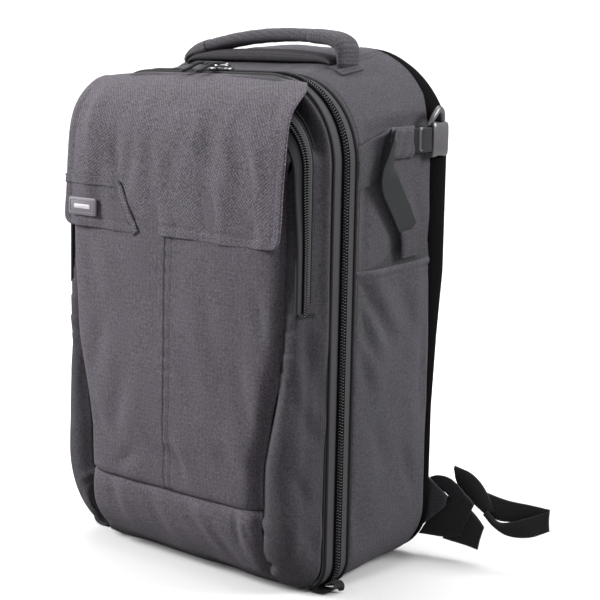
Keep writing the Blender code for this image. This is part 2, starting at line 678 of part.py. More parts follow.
def build():
    clear_scene()
    collection(COLLECTION)
    collection(CUTTERS)
    skins = finishes()
    lid = empty("lid_axis", LID_HINGE)
    flap = empty("flap_axis", FLAP_HINGE)
    handle = empty("handle_axis", HANDLE_HINGE)
    build_shell(skins)
    build_liner(skins)
    build_dividers(skins)
    build_back(skins)
    build_main_zip(skins, lid)
    build_pocket(skins, lid)
    build_lid(skins, lid)
    build_pocket_zip(skins, lid, empty("pocket_slide", POCKET_SLIDER))
    build_flap(skins, flap)
    build_handle(skins, handle)
    for side, name in ((-1, "left"), (1, "right")):
        x = SLIDER_X + side * SLIDER_PITCH / 2
        pull_axis = empty(f"pull_axis_{name}", (x, ZIP_PLANE, BAIL_Z))
        slider(f"main_slider_{name}", x, skins["metal"], None)
        pull(f"pull_{name}", x, math.radians(PULL_TURNS[name]), skins, pull_axis)
        plug = empty(f"plug_axis_{name}", (side * HALF_WIDTH, 0.07, 0.427))
        build_side(side, name, skins, plug)
        strap = empty(f"strap_axis_{name}", STRAP_HINGE)
        lock = empty(f"lock_axis_{name}", (side * LOCK_X, 0.1165, 0.2020))
        build_strap(side, name, skins, strap, lock)
        build_lower_harness(side, name, skins)


build()
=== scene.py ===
"""Looks of the padded quadcopter backpack case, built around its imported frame.

Metres, +Z up, -Y the front with the lid, +Y the harness. Each cloth panel is a fine grid of
points that is pushed along its own normal to make seams, crowns and creases. Weaves are
procedural, in metres.
"""

import math

import bmesh
import bpy
import numpy as np
from mathutils import Matrix, Vector


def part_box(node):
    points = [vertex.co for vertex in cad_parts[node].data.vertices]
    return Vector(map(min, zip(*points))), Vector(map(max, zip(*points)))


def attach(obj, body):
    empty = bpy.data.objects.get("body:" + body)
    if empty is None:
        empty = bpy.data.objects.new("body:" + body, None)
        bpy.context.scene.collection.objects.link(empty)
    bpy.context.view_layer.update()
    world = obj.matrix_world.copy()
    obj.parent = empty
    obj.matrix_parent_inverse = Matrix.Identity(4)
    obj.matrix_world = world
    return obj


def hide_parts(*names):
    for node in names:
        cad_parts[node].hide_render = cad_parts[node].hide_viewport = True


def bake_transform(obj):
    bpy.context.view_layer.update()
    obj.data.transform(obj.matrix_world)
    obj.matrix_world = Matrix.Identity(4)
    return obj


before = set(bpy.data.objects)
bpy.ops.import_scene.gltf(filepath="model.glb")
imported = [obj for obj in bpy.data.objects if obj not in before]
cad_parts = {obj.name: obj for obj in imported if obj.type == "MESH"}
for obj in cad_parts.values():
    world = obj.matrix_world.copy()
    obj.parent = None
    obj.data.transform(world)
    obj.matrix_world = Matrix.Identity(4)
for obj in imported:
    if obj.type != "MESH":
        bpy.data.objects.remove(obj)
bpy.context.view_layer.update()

# ---- driving sizes, metres ----
WALL_LOW, WALL_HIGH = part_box("shell_wall")
HALF_WIDTH = WALL_HIGH.x
SHELL_FRONT = WALL_LOW.y
SHELL_REAR = WALL_HIGH.y
REAR_TOP = WALL_HIGH.z
ZIP_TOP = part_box("lid_zip_tape")[1].z
LID_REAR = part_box("pocket_wing_right")[1].y
ZIP_PLANE = -0.060
ZIP_TOP_RADIUS = 0.082
REAR_TOP_RADIUS = 0.090
FOOT_RADIUS = 0.030
REAR_FOOT_RADIUS = 0.058
TAPE_WIDTH = 0.0155
WEBBING = 0.025
INSIDE = np.array((0.0, 0.01, 0.25))

# Pocket sections from the lid's edge forward: y, half width, low z, high z, top and foot radius.
POCKET_SECTIONS = (
    (LID_REAR, 0.1650, 0.0005, 0.494, 0.082, 0.030),
    (-0.0840, 0.1642, 0.0055, 0.489, 0.077, 0.031),
    (-0.0900, 0.1630, 0.0095, 0.482, 0.070, 0.032),
    (-0.1040, 0.1595, 0.0180, 0.466, 0.055, 0.038),
    (-0.1170, 0.1545, 0.0300, 0.450, 0.045, 0.046),
    (-0.1260, 0.1490, 0.0450, 0.434, 0.040, 0.054),
    (-0.1305, 0.1400, 0.0630, 0.416, 0.038, 0.060),
)
# Centre panel's half width at each height, z then x.
PRINCESS_SEAM = ((0.040, 0.122), (0.075, 0.121), (0.128, 0.122), (0.177, 0.132), (0.226, 0.143),
                 (0.300, 0.150),
                 (0.520, 0.150))
BAND_TOP = 0.083
CROWN = 0.0050
GUSSET_FRONT = -0.100
POCKET_ZIP_Y = -0.1105
CORNER_RADIUS = 0.0110
# Flap profile from its root to its lower edge: y, z, reach to the right, reach to the left.
FLAP_PROFILE = (
    (-0.0800, 0.4945, 0.1340, 0.1520),
    (-0.0885, 0.4915, 0.1415, 0.1530),
    (-0.0975, 0.4870, 0.1475, 0.1520),
    (-0.1090, 0.4790, 0.1510, 0.1505),
    (-0.1200, 0.4672, 0.1530, 0.1490),
    (-0.1290, 0.4510, 0.1555, 0.1480),
    (-0.1350, 0.4310, 0.1580, 0.1470),
    (-0.1378, 0.4000, 0.1575, 0.1465),
    (-0.1385, 0.3675, 0.1565, 0.1465),
    (-0.1382, 0.3370, 0.1555, 0.1465),
)
FLAP_ROOT, FLAP_LOW = FLAP_PROFILE[0][1], FLAP_PROFILE[-1][1]
FLAP_INSIDE = np.array((0.0, -0.05, 0.38))

# ---- view and light ----
VIEW_AZIMUTH, VIEW_ELEVATION, VIEW_ROLL = 41.82, 8.8, 1.12
VIEW_DISTANCE = 1.63
VIEW_TARGET = Vector((0.0585, 0.0, 0.2673))
LENS, SENSOR = 96.0, 36.0
WORLD_LIGHT, KEY_LIGHT, TOP_LIGHT, SIDE_LIGHT, BACKDROP_LIGHT = 0.44, 120.0, 19.0, 56.0, 60.0
GRAIN_SCALE = 560.0


# ---- curves and grids of points ----
def unit(vectors):
    return vectors / np.maximum(np.linalg.norm(vectors, axis=-1, keepdims=True), 1e-12)


def even(points, count):
    """The same line as count points at equal spacing."""
    steps = np.r_[0.0, np.cumsum(np.linalg.norm(np.diff(points, axis=0), axis=1))]
    at = np.linspace(0.0, steps[-1], count)
    return np.stack([np.interp(at, steps, column) for column in points.T], axis=1)


def curve_through(points, count):
    """Catmull-Rom curve through the points."""
    p = np.asarray(points, float)
    ends = np.vstack([2 * p[0] - p[1], p, 2 * p[-1] - p[-2]])
    t = np.linspace(0.0, 1.0, 20, endpoint=False)[:, None]
    parts = []
    for a, b, c, d in zip(ends, ends[1:], ends[2:], ends[3:]):
        cubic = 2 * b + (c - a) * t + (2 * a - 5 * b + 4 * c
                                       - d) * t**2 + (3 * b - a - 3 * c + d) * t**3
        parts.append(cubic / 2)
    return even(np.vstack(parts + [p[-1:]]), count)


def length_of(points):
    return float(np.linalg.norm(np.diff(points, axis=0), axis=1).sum())


def full_turn(count):
    return np.linspace(0, 2 * math.pi, count + 1)[:-1]


def bent(value, power):
    """A sine or cosine raised to a power with its sign kept."""
    return math.copysign(abs(value)**power, value)


def squared_ring(half_side, half_up, side_power, up_power, count):
    """Closed section between an ellipse and a rectangle; powers below 1 square it off."""
    return [(half_side * bent(math.cos(t), side_power), half_up * bent(math.sin(t), up_power))
            for t in full_turn(count)]


def arc(cx, cz, radius, start, end, steps=16):
    turns = np.radians(np.linspace(start, end, steps))
    return [(cx + radius * math.cos(t), cz + radius * math.sin(t)) for t in turns]


def outline(half, low, high, top, foot, foot_start=-90.0):
    """Open outline in X-Z from under the right foot, over the top, to under the left foot."""
    right = arc(half - foot, low + foot, foot, foot_start, 0)
    right += arc(half - top, high - top, top, 0, 90, 30)
    return np.array(right + [(-x, z) for x, z in reversed(right)])


def normals_of(grid, closed=False, centre=INSIDE):
    """Unit normals of a grid of points, pointing away from centre."""
    if closed:
        wide = np.concatenate([grid[:, -1:], grid, grid[:, :1]], axis=1)
        along = (wide[:, 2:] - wide[:, :-2]) / 2
    else:
        along = np.gradient(grid, axis=1)
    down = np.gradient(grid, axis=0)
    found = unit(np.cross(down, along))
    if (found * (grid - centre)).sum() < 0:
        found = -found
    return found


def push(grid, amount, closed=False, centre=INSIDE):
    return grid + normals_of(grid, closed, centre) * np.asarray(amount)[..., None]


def ease(t):
    t = np.clip(t, 0.0, 1.0)
    return t * t * (3 - 2 * t)


def ripple(u, v, wavelength, seed, stretch=1.0):
    """Smooth unevenness between -1 and 1; stretch below 1 draws it out along v."""
    draw = np.random.default_rng(seed)
    total = np.zeros(np.broadcast(u, v).shape)
    for _ in range(7):
        turn, size, phase = draw.uniform(0, math.pi), draw.uniform(0.6,
                                                                   1.6), draw.uniform(0, 2 * math.pi)
        wave = (u * math.cos(turn) + v * math.sin(turn) * stretch) / (wavelength * size)
        total += np.sin(2 * math.pi * wave + phase)
    return total / 4


def crease(u, v, start, end, width, depth, ridge=0.55):
    """A valley along a line with a soft ridge on its left side; it fades towards both ends."""
    (u0, v0), (u1, v1) = start, end
    du, dv = u1 - u0, v1 - v0
    size = math.hypot(du, dv)
    t = ((u - u0) * du + (v - v0) * dv) / size**2
    side = ((v - v0) * du - (u - u0) * dv) / size
    past = np.maximum(np.maximum(-t, t - 1), 0) * size
    fade = np.exp(-((past / width) ** 2)) * (0.25 + 0.75 * np.sin(math.pi * np.clip(t, 0, 1)))
    valley = -np.exp(-((side / width) ** 2))
    return depth * fade * (valley + ridge * np.exp(-(((side - 1.9 * width) / (1.3 * width)) ** 2)))


def creases(u, v, lines):
    """Sum of creases, each given as start u, v, end u, v, width and depth in millimetres."""
    total = np.zeros(np.broadcast(u, v).shape)
    for u0, v0, u1, v1, width, depth in np.asarray(lines, float) / 1000:
        total += crease(u, v, (u0, v0), (u1, v1), width, depth)
    return total


def edge_distance(grid):
    """Distance of each point from the first and last columns, then first and last rows."""
    across = np.linalg.norm(np.diff(grid, axis=1), axis=2)
    u = np.concatenate([np.zeros((len(grid), 1)), np.cumsum(across, axis=1)], axis=1)
    down = np.linalg.norm(np.diff(grid, axis=0), axis=2)
    v = np.concatenate([np.zeros((1, grid.shape[1])), np.cumsum(down, axis=0)], axis=0)
    return u, u[:, -1:] - u, v, v[-1:] - v


def tuck(distance, depth, width):
    """How far cloth dives at a seam that lies this far away."""
    return -depth * np.exp(-((distance / width) ** 2))


# ---- mesh makers ----
def mesh_object(name, points, faces, finish, uv=None):
    mesh = bpy.data.meshes.new(name)
    mesh.from_pydata(np.asarray(points).tolist(), [], faces)
    if uv is not None:
        layer = mesh.uv_layers.new(name="UVMap")
        layer.data.foreach_set("uv", np.asarray(uv, np.float32).ravel())
    mesh.polygons.foreach_set("use_smooth", [True] * len(mesh.polygons))
    mesh.update()
    mesh.materials.append(finish)
    made = bpy.data.objects.new(name, mesh)
    bpy.context.scene.collection.objects.link(made)
    return made


def cloth(name, grid, finish, thickness=0.0012, closed=False, centre=INSIDE):
    """A cloth panel through a grid of points, thickened inwards, with texture in metres."""
    rows, columns = grid.shape[:2]
    wide = np.concatenate([grid, grid[:, :1]], axis=1) if closed else grid
    u, _, v, _ = edge_distance(wide)
    u = u - u[:, wide.shape[1] // 2 : wide.shape[1] // 2 + 1]
    index = np.arange(rows * columns).reshape(rows, columns)
    if closed:
        index = np.hstack([index, index[:, :1]])
    corner = [(slice(None, -1), slice(None, -1)), (slice(1, None), slice(None, -1)),
              (slice(1, None), slice(1, None)), (slice(None, -1), slice(1, None))]
    along = np.gradient(grid, axis=1)
    down = np.gradient(grid, axis=0)
    if (np.cross(down, along) * (grid - centre)).sum() < 0:
        corner.reverse()
    faces = np.stack([index[c] for c in corner], axis=-1).reshape(-1, 4)
    uv = np.stack([np.stack([u[c], v[c]], axis=-1) for c in corner], axis=-2)
    made = mesh_object(name, grid.reshape(-1, 3), faces.tolist(), finish, uv.reshape(-1, 2))
    if thickness:
        solid = made.modifiers.new("thickness", "SOLIDIFY")
        solid.thickness = thickness
        solid.offset = -1.0
    return made


def frames_along(path, up_hint, closed=False):
    """Tangent, side and up at each point of a path; up is as near the hint as the path allows."""
    path = np.asarray(path, float)
    if closed:
        along = unit(np.roll(path, -1, axis=0) - np.roll(path, 1, axis=0))
    else:
        along = unit(np.gradient(path, axis=0))
    hint = np.broadcast_to(np.asarray(up_hint, float), path.shape)
    side = unit(np.cross(hint, along))
    return along, side, np.cross(along, side)


def loft(name, path, side, up, profile, finish, closed=False):
    """A cross section of side and up offsets carried along a path; it may change on the way."""
    path, profile = np.asarray(path, float), np.asarray(profile, float)
    if profile.ndim == 2:
        profile = np.broadcast_to(profile, (len(path), *profile.shape))
    ring = path[:, None] + side[:, None] * profile[..., :1] + up[:, None] * profile[..., 1:]
    rows, columns = ring.shape[:2]
    around = np.r_[0.0,
                   np.cumsum(np.linalg.norm(np.diff(np.vstack([profile[0], profile[0][:1]]),
                                                    axis=0), axis=1))]
    line = np.vstack([path, path[:1]]) if closed else path
    along = np.r_[0.0, np.cumsum(np.linalg.norm(np.diff(line, axis=0), axis=1))]
    faces, uv = [], []
    for i in range(rows if closed else rows - 1):
        for j in range(columns):
            k, m = (i + 1) % rows, (j + 1) % columns
            faces.append((i * columns + j, i * columns + m, k * columns + m, k * columns + j))
            uv += [(around[j], along[i]), (around[j + 1], along[i]), (around[j + 1], along[i + 1]),
                   (around[j], along[i + 1])]
    if not closed:
        for end, order in ((0, range(columns - 1, -1, -1)), (rows - 1, range(columns))):
            faces.append([end * columns + j for j in order])
            uv += [tuple(profile[end][j]) for j in order]
    made = mesh_object(name, ring.reshape(-1, 3), faces, finish, uv)
    face_out(made.data)
    return made


def face_out(mesh, fill_ends=False):
    """Turn all faces outwards, first closing any open end if asked."""
    bm = bmesh.new()
    bm.from_mesh(mesh)
    if fill_ends:
        bmesh.ops.holes_fill(bm, edges=[edge for edge in bm.edges if edge.is_boundary])
    bmesh.ops.recalc_face_normals(bm, faces=bm.faces)
    bm.to_mesh(mesh)
    bm.free()


def round_profile(rx, rz, sides=10):
    return [(rx * math.cos(2 * math.pi * i / sides), rz * math.sin(2 * math.pi * i / sides))
            for i in range(sides)]


def tube(name, path, radius, finish, closed=False, sides=10, up_hint=(0.13, -0.31, 0.94)):
    _, side, up = frames_along(path, up_hint, closed)
    return loft(name, path, side, up, round_profile(radius, radius, sides), finish, closed)


def web_profile(width, thickness, ribs=9, rib=0.00016):
    """Flat webbing with rounded selvedges and lengthwise ribs."""
    half, flat = thickness / 2, width / 2 - thickness / 2
    across = np.linspace(flat, -flat, ribs * 4 + 1)
    wave = rib * np.abs(np.sin(np.pi * ribs * (across + flat) / (2 * flat)))
    top = [(x, half + w) for x, w in zip(across, wave)]
    turn = [(-flat - half * math.cos(a), half * math.sin(a)) for a in (0.7, 0.0, -0.7)]
    bottom = [(-x, -z) for x, z in top]
    return np.array(top + turn + bottom + [(-x, -z) for x, z in turn])


def webbing(name, points, across, finish, width=WEBBING, thickness=0.0014, count=0, ribs=9):
    """Webbing along a smooth path; across holds the width direction at each control point."""
    count = count or max(12, int(length_of(np.asarray(points, float)) / 0.003))
    control = np.hstack([np.asarray(points, float), unit(np.asarray(across, float)) * 0.04])
    line = curve_through(control, count)
    path, way = line[:, :3], line[:, 3:]
    along = unit(np.gradient(path, axis=0))
    way = unit(way - along * (way * along).sum(axis=1, keepdims=True))
    return loft(name, path, way, np.cross(along, way), web_profile(width, thickness, ribs), finish)


def stamped(name, shape, origins, along, side, up, finish):
    """Many copies of one small shape, each in its own frame."""
    points, faces = shape
    count, size = len(origins), len(points)
    world = (origins[:, None] + along[:, None] * points[None, :,
                                                        :1] + side[:, None] * points[None, :, 1:2]
             + up[:, None] * points[None, :, 2:])
    every = [[k * size + i for i in face] for k in range(count) for face in faces]
    return mesh_object(name, world.reshape(-1, 3), every, finish)


def pill(length, wide, high, sides=6):
    """Small closed form, long in its first axis."""
    stations = ((-1.0, 0.0), (-0.88, 0.62), (-0.6, 1.0), (0.6, 1.0), (0.88, 0.62), (1.0, 0.0))
    points = [(-length / 2, 0.0, 0.0)]
    for at, grow in stations[1:-1]:
        for i in range(sides):
            t = 2 * math.pi * (i + 0.5) / sides
            c, s = math.cos(t), math.sin(t)
            points.append((at * length / 2, c * wide / 2 * grow, s * high / 2 * grow))
    points.append((length / 2, 0.0, 0.0))
    faces = [(0, 1 + (i + 1) % sides, 1 + i) for i in range(sides)]
    for ring in range(len(stations) - 3):
        a = 1 + ring * sides
        faces += [(a + i, a + (i + 1) % sides, a + sides + (i + 1) % sides, a + sides + i)
                  for i in range(sides)]
    last = len(points) - 1
    a = last - sides
    faces += [(a + i, a + (i + 1) % sides, last) for i in range(sides)]
    return np.array(points), faces


# ---- stitching: every row is gathered and made as one piece for each body ----
SEAMS = {}


def sew(path, normals, body, pitch=0.0034, lift=0.00015):
    """Lay thread along a line on a surface."""
    path, normals = np.asarray(path, float), np.broadcast_to(np.asarray(normals, float),
                                                             np.shape(path))
    count = max(2, int(length_of(path) / pitch))
    line = even(np.hstack([path, normals * 0.001]), count)
    along = unit(np.gradient(line[:, :3], axis=0))
    up = unit(line[:, 3:])
    up = unit(up - along * (up * along).sum(axis=1, keepdims=True))
    SEAMS.setdefault(body, []).append((line[:, :3] + up * lift, along, up))


def sew_grid(grid, body, row=None, column=None, cut=slice(None), **options):
    normal = options.pop("normals", None)
    normal = normals_of(grid) if normal is None else normal
    if row is not None:
        sew(grid[row][cut], normal[row][cut], body, **options)
    else:
        sew(grid[:, column][cut], normal[:, column][cut], body, **options)


def make_stitching():
    shape = pill(0.0027, 0.00062, 0.00048, 5)
    for body, rows in SEAMS.items():
        origins, along, up = (np.concatenate(part) for part in zip(*rows))
        made = stamped(f"stitching_{body}", shape, origins, along, np.cross(up, along), up,
                       SKIN["thread"])
        finish(made, body, "black_webbing")


def finish(made, body, slot, *stands_for):
    """Hang a piece on its body and hide the frame nodes it stands for; the slot argument is not used."""
    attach(made, body)
    if stands_for:
        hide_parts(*stands_for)
    return made


def finish_blend(made, bodies, start, end, slot, *stands_for):
    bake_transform(made)
    if stands_for:
        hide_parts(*stands_for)
    return made


# ---- materials: small node helpers ----
class Nodes:
    """A material's node tree, with short ways to add maths, textures and mixes."""

    def __init__(self, name):
        self.material = bpy.data.materials.new(name)
        self.material.use_nodes = True
        self.tree = self.material.node_tree
        self.shader = self.tree.nodes["Principled BSDF"]

    def link(self, value, socket):
        if isinstance(value, bpy.types.NodeSocket):
            self.tree.links.new(value, socket)
        else:
            socket.default_value = value

    def math(self, operation, a, b=0.0, clamp=False):
        node = self.tree.nodes.new("ShaderNodeMath")
        node.operation = operation
        node.use_clamp = clamp
        self.link(a, node.inputs[0])
        self.link(b, node.inputs[1])
        return node.outputs[0]

    def chain(self, start, *steps):
        for operation, value in steps:
            start = self.math(operation, start, value)
        return start

    def uv(self):
        split = self.tree.nodes.new("ShaderNodeSeparateXYZ")
        self.tree.links.new(self.tree.nodes.new("ShaderNodeUVMap").outputs[0], split.inputs[0])
        return split.outputs[0], split.outputs[1]

    def place(self):
        return self.tree.nodes.new("ShaderNodeTexCoord").outputs["Object"]

    def noise(self, scale, detail=2.0, vector=None, roughness=0.5):
        node = self.tree.nodes.new("ShaderNodeTexNoise")
        self.tree.links.new(vector or self.place(), node.inputs["Vector"])
        node.inputs["Scale"].default_value = scale
        node.inputs["Detail"].default_value = detail
        node.inputs["Roughness"].default_value = roughness
        return node.outputs["Fac"]

    def mix(self, factor, a, b):
        node = self.tree.nodes.new("ShaderNodeMix")
        node.data_type = "RGBA"
        self.link(factor, node.inputs["Factor"])
        for value, socket in ((a, node.inputs[6]), (b, node.inputs[7])):
            self.link(value if isinstance(value, bpy.types.NodeSocket) else (*value, 1.0), socket)
        return node.outputs[2]

    def scaled(self, colour, factor):
        """The colour made brighter or darker by a factor that varies over the surface."""
        node = self.tree.nodes.new("ShaderNodeVectorMath")
        node.operation = "SCALE"
        self.link(colour, node.inputs[0])
        self.link(factor, node.inputs["Scale"])
        return node.outputs[0]

    def worn(self, amount):
        """Rises above 1 where an edge stands proud."""
        point = self.tree.nodes.new("ShaderNodeNewGeometry").outputs["Pointiness"]
        proud = self.math("MULTIPLY", self.math("SUBTRACT", point, 0.505), 9.0, clamp=True)
        return self.math("ADD", self.math("MULTIPLY", proud, amount), 1.0)

    def bump(self, height, distance, strength=1.0):
        node = self.tree.nodes.new("ShaderNodeBump")
        node.inputs["Strength"].default_value = strength
        node.inputs["Distance"].default_value = distance
        self.tree.links.new(height, node.inputs["Height"])
        self.tree.links.new(node.outputs[0], self.shader.inputs["Normal"])

    def finish(self, colour, roughness, sheen=0.0, metallic=0.0, specular=0.5):
        self.link(colour if isinstance(colour, bpy.types.NodeSocket) else (*colour, 1.0),
                  self.shader.inputs["Base Color"])
        self.link(roughness, self.shader.inputs["Roughness"])
        self.shader.inputs["Metallic"].default_value = metallic
        self.shader.inputs["Specular IOR Level"].default_value = specular
        self.shader.inputs["Sheen Weight"].default_value = sheen
        self.shader.inputs["Sheen Roughness"].default_value = 0.45
        self.shader.inputs["Sheen Tint"].default_value = (0.80, 0.76, 0.84, 1.0)
        return self.material


def mottle(nodes, colour, amount, grain=0.0):
    """Slow drift in brightness, thread grain and a slight drift in hue, as dyed nylon shows."""
    slow = nodes.noise(16.0, 3.0)
    fine = nodes.noise(GRAIN_SCALE, 1.0)
    level = nodes.math("ADD", nodes.math("MULTIPLY", slow, amount),
                       nodes.math("MULTIPLY", fine, amount * 0.8 + 2 * grain))
    level = nodes.math("MAXIMUM", nodes.math("ADD", level, 1.0 - amount * 0.9 - grain), 0.15)
    red, green, blue = colour
    drift = nodes.mix(nodes.noise(34.0, 2.0), (red * 1.05, green * 0.96, blue * 1.05),
                      (red * 0.96, green * 1.04, blue * 0.97))
    return nodes.scaled(drift, level)


def woven(name, colour, pitch, over=1, contrast=0.3, depth=0.0002, roughness=0.8, sheen=0.10,
          amount=0.16,
          grid=0.0, turn=0.0, wear=0.35, grain=0.6):
    """Plain weave (over 1) or basket weave (over 2), with ripstop lines when grid is set."""
    nodes = Nodes(name)
    u, v = nodes.uv()
    if turn:
        c, s = math.cos(turn), math.sin(turn)
        u, v = (nodes.math("ADD", nodes.math("MULTIPLY", u, c), nodes.math("MULTIPLY", v, s)),
                nodes.math("SUBTRACT", nodes.math("MULTIPLY", v, c), nodes.math("MULTIPLY", u, s)))
    warp, weft = nodes.math("DIVIDE", u, pitch), nodes.math("DIVIDE", v, pitch)
    lie = [nodes.math("ABSOLUTE", nodes.math("SINE", nodes.math("MULTIPLY", w, math.pi)))
           for w in (warp, weft)]
    cell = [nodes.math("FLOOR", nodes.math("DIVIDE", w, float(over))) for w in (warp, weft)]
    parity = nodes.math("FLOORED_MODULO", nodes.math("ADD", *cell), 2.0)
    height = nodes.math("ADD", nodes.math("MULTIPLY", parity, lie[0]),
                        nodes.math("MULTIPLY", nodes.math("SUBTRACT", 1.0, parity), lie[1]))
    shade = nodes.math("ADD", nodes.math("MULTIPLY", height, contrast), 1.0 - contrast * 0.64)
    shade = nodes.math("MULTIPLY", shade,
                       nodes.math("ADD", nodes.math("MULTIPLY", parity, contrast * 0.5),
                                                     1.0 - contrast * 0.25))
    if grid:
        for line in (u, v):
            near = nodes.math("PINGPONG", line, grid / 2)
            raised = nodes.math("LESS_THAN", near, pitch * 0.55)
            shade = nodes.math("ADD", shade, nodes.math("MULTIPLY", raised, 0.10))
            height = nodes.math("ADD", height, nodes.math("MULTIPLY", raised, 0.4))
    colour = nodes.scaled(mottle(nodes, colour, amount, grain),
                          nodes.math("MULTIPLY", shade, nodes.worn(wear)))
    nodes.bump(height, depth, 0.8)
    rough = nodes.math("ADD", nodes.math("MULTIPLY", height, -0.12), roughness + 0.06)
    return nodes.finish(colour, rough, sheen, specular=0.32)


def webbed(name, colour, pitch=0.0011, roughness=0.72, contrast=0.45, across=False, sheen=0.10,
           specular=0.35):
    """Heavy webbing: ribs along its length, crossed by a fine chevron."""
    nodes = Nodes(name)
    u, v = nodes.uv()
    if across:
        u, v = v, u
    rib = nodes.math("ABSOLUTE",
                     nodes.math("SINE", nodes.math("MULTIPLY", u, math.pi / (2 * pitch))))
    lean = nodes.math("ADD", v, nodes.math("PINGPONG", u, pitch))
    pick = nodes.math("ABSOLUTE",
                      nodes.math("SINE", nodes.math("MULTIPLY", lean, math.pi / (pitch * 0.8))))
    height = nodes.math("ADD", nodes.math("MULTIPLY", rib, 0.6), nodes.math("MULTIPLY", pick, 0.4))
    shade = nodes.math("ADD", nodes.math("MULTIPLY", height, contrast), 1.0 - contrast * 0.6)
    colour = nodes.scaled(mottle(nodes, colour, 0.2),
                          nodes.math("MULTIPLY", shade, nodes.worn(0.5)))
    nodes.bump(height, 0.00025, 0.8)
    return nodes.finish(colour, roughness, sheen, specular=specular)


def netted(name, colour, hole=0.0026):
    """Spacer mesh: rows of small holes between raised threads."""
    nodes = Nodes(name)
    u, v = nodes.uv()
    a = nodes.math("SINE", nodes.math("MULTIPLY", u, 2 * math.pi / hole))
    b = nodes.math("SINE",
                   nodes.math("MULTIPLY", nodes.math("ADD", v, nodes.math("MULTIPLY", u, 0.5)),
                                      2 * math.pi / hole))
    raised = nodes.math("SUBTRACT", 1.0,
                        nodes.math("GREATER_THAN", nodes.math("MULTIPLY", a, b), 0.30))
    soft = nodes.math("ADD", nodes.math("MULTIPLY", nodes.math("MULTIPLY", a, b), -0.4),
                      nodes.math("MULTIPLY", raised, 0.6))
    shade = nodes.math("ADD", nodes.math("MULTIPLY", raised, 0.75), 0.25)
    nodes.bump(soft, 0.0005, 0.9)
    return nodes.finish(nodes.scaled(mottle(nodes, colour, 0.2), shade), 0.85, 0.2, specular=0.25)


def brushed(name, colour, scale=1400.0, depth=0.0003, sheen=0.5, roughness=0.95):
    """Napped loop cloth or foam skin."""
    nodes = Nodes(name)
    nap = nodes.noise(scale, 3.0, roughness=0.7)
    clump = nodes.noise(scale / 12, 3.0)
    height = nodes.math("ADD", nap, nodes.math("MULTIPLY", clump, 0.8))
    shade = nodes.math("ADD", nodes.math("MULTIPLY", height, 0.5), 0.55)
    nodes.bump(height, depth, 0.8)
    return nodes.finish(nodes.scaled(mottle(nodes, colour, 0.15), shade), roughness, sheen,
                        specular=0.2)


def moulded(name, colour, roughness=0.3, texture=0.00004, scale=2600.0, specular=0.5, coat=0.0):
    """Injection-moulded plastic: fine spark texture, flow marks and rubbed edges."""
    nodes = Nodes(name)
    grain = nodes.noise(scale, 2.0)
    flow = nodes.noise(70.0, 3.0)
    rough = nodes.math("ADD", nodes.math("MULTIPLY", flow, 0.20), roughness - 0.08)
    nodes.bump(nodes.math("ADD", grain, nodes.math("MULTIPLY", flow, 0.6)), texture, 0.6)
    colour = nodes.scaled(mottle(nodes, colour, 0.06), nodes.worn(0.6))
    made = nodes.finish(colour, rough, specular=specular)
    nodes.shader.inputs["Coat Weight"].default_value = coat
    nodes.shader.inputs["Coat Roughness"].default_value = 0.15
    return made


def metal(name, colour, roughness=0.28):
    nodes = Nodes(name)
    scratch = nodes.noise(600.0, 4.0)
    rough = nodes.math("ADD", nodes.math("MULTIPLY", scratch, 0.25), roughness - 0.1)
    nodes.bump(scratch, 0.00003, 0.5)
    return nodes.finish(nodes.scaled(mottle(nodes, colour, 0.10), nodes.worn(0.7)), rough,
                        metallic=1.0)


def floor_paint():
    """Pale to the camera, greyer to the light that bounces off it."""
    nodes = Nodes("studio_floor")
    seen = nodes.tree.nodes.new("ShaderNodeLightPath").outputs["Is Camera Ray"]
    return nodes.finish(nodes.mix(seen, (0.30, 0.30, 0.30), (0.90, 0.90, 0.90)), 0.8, specular=0.0)


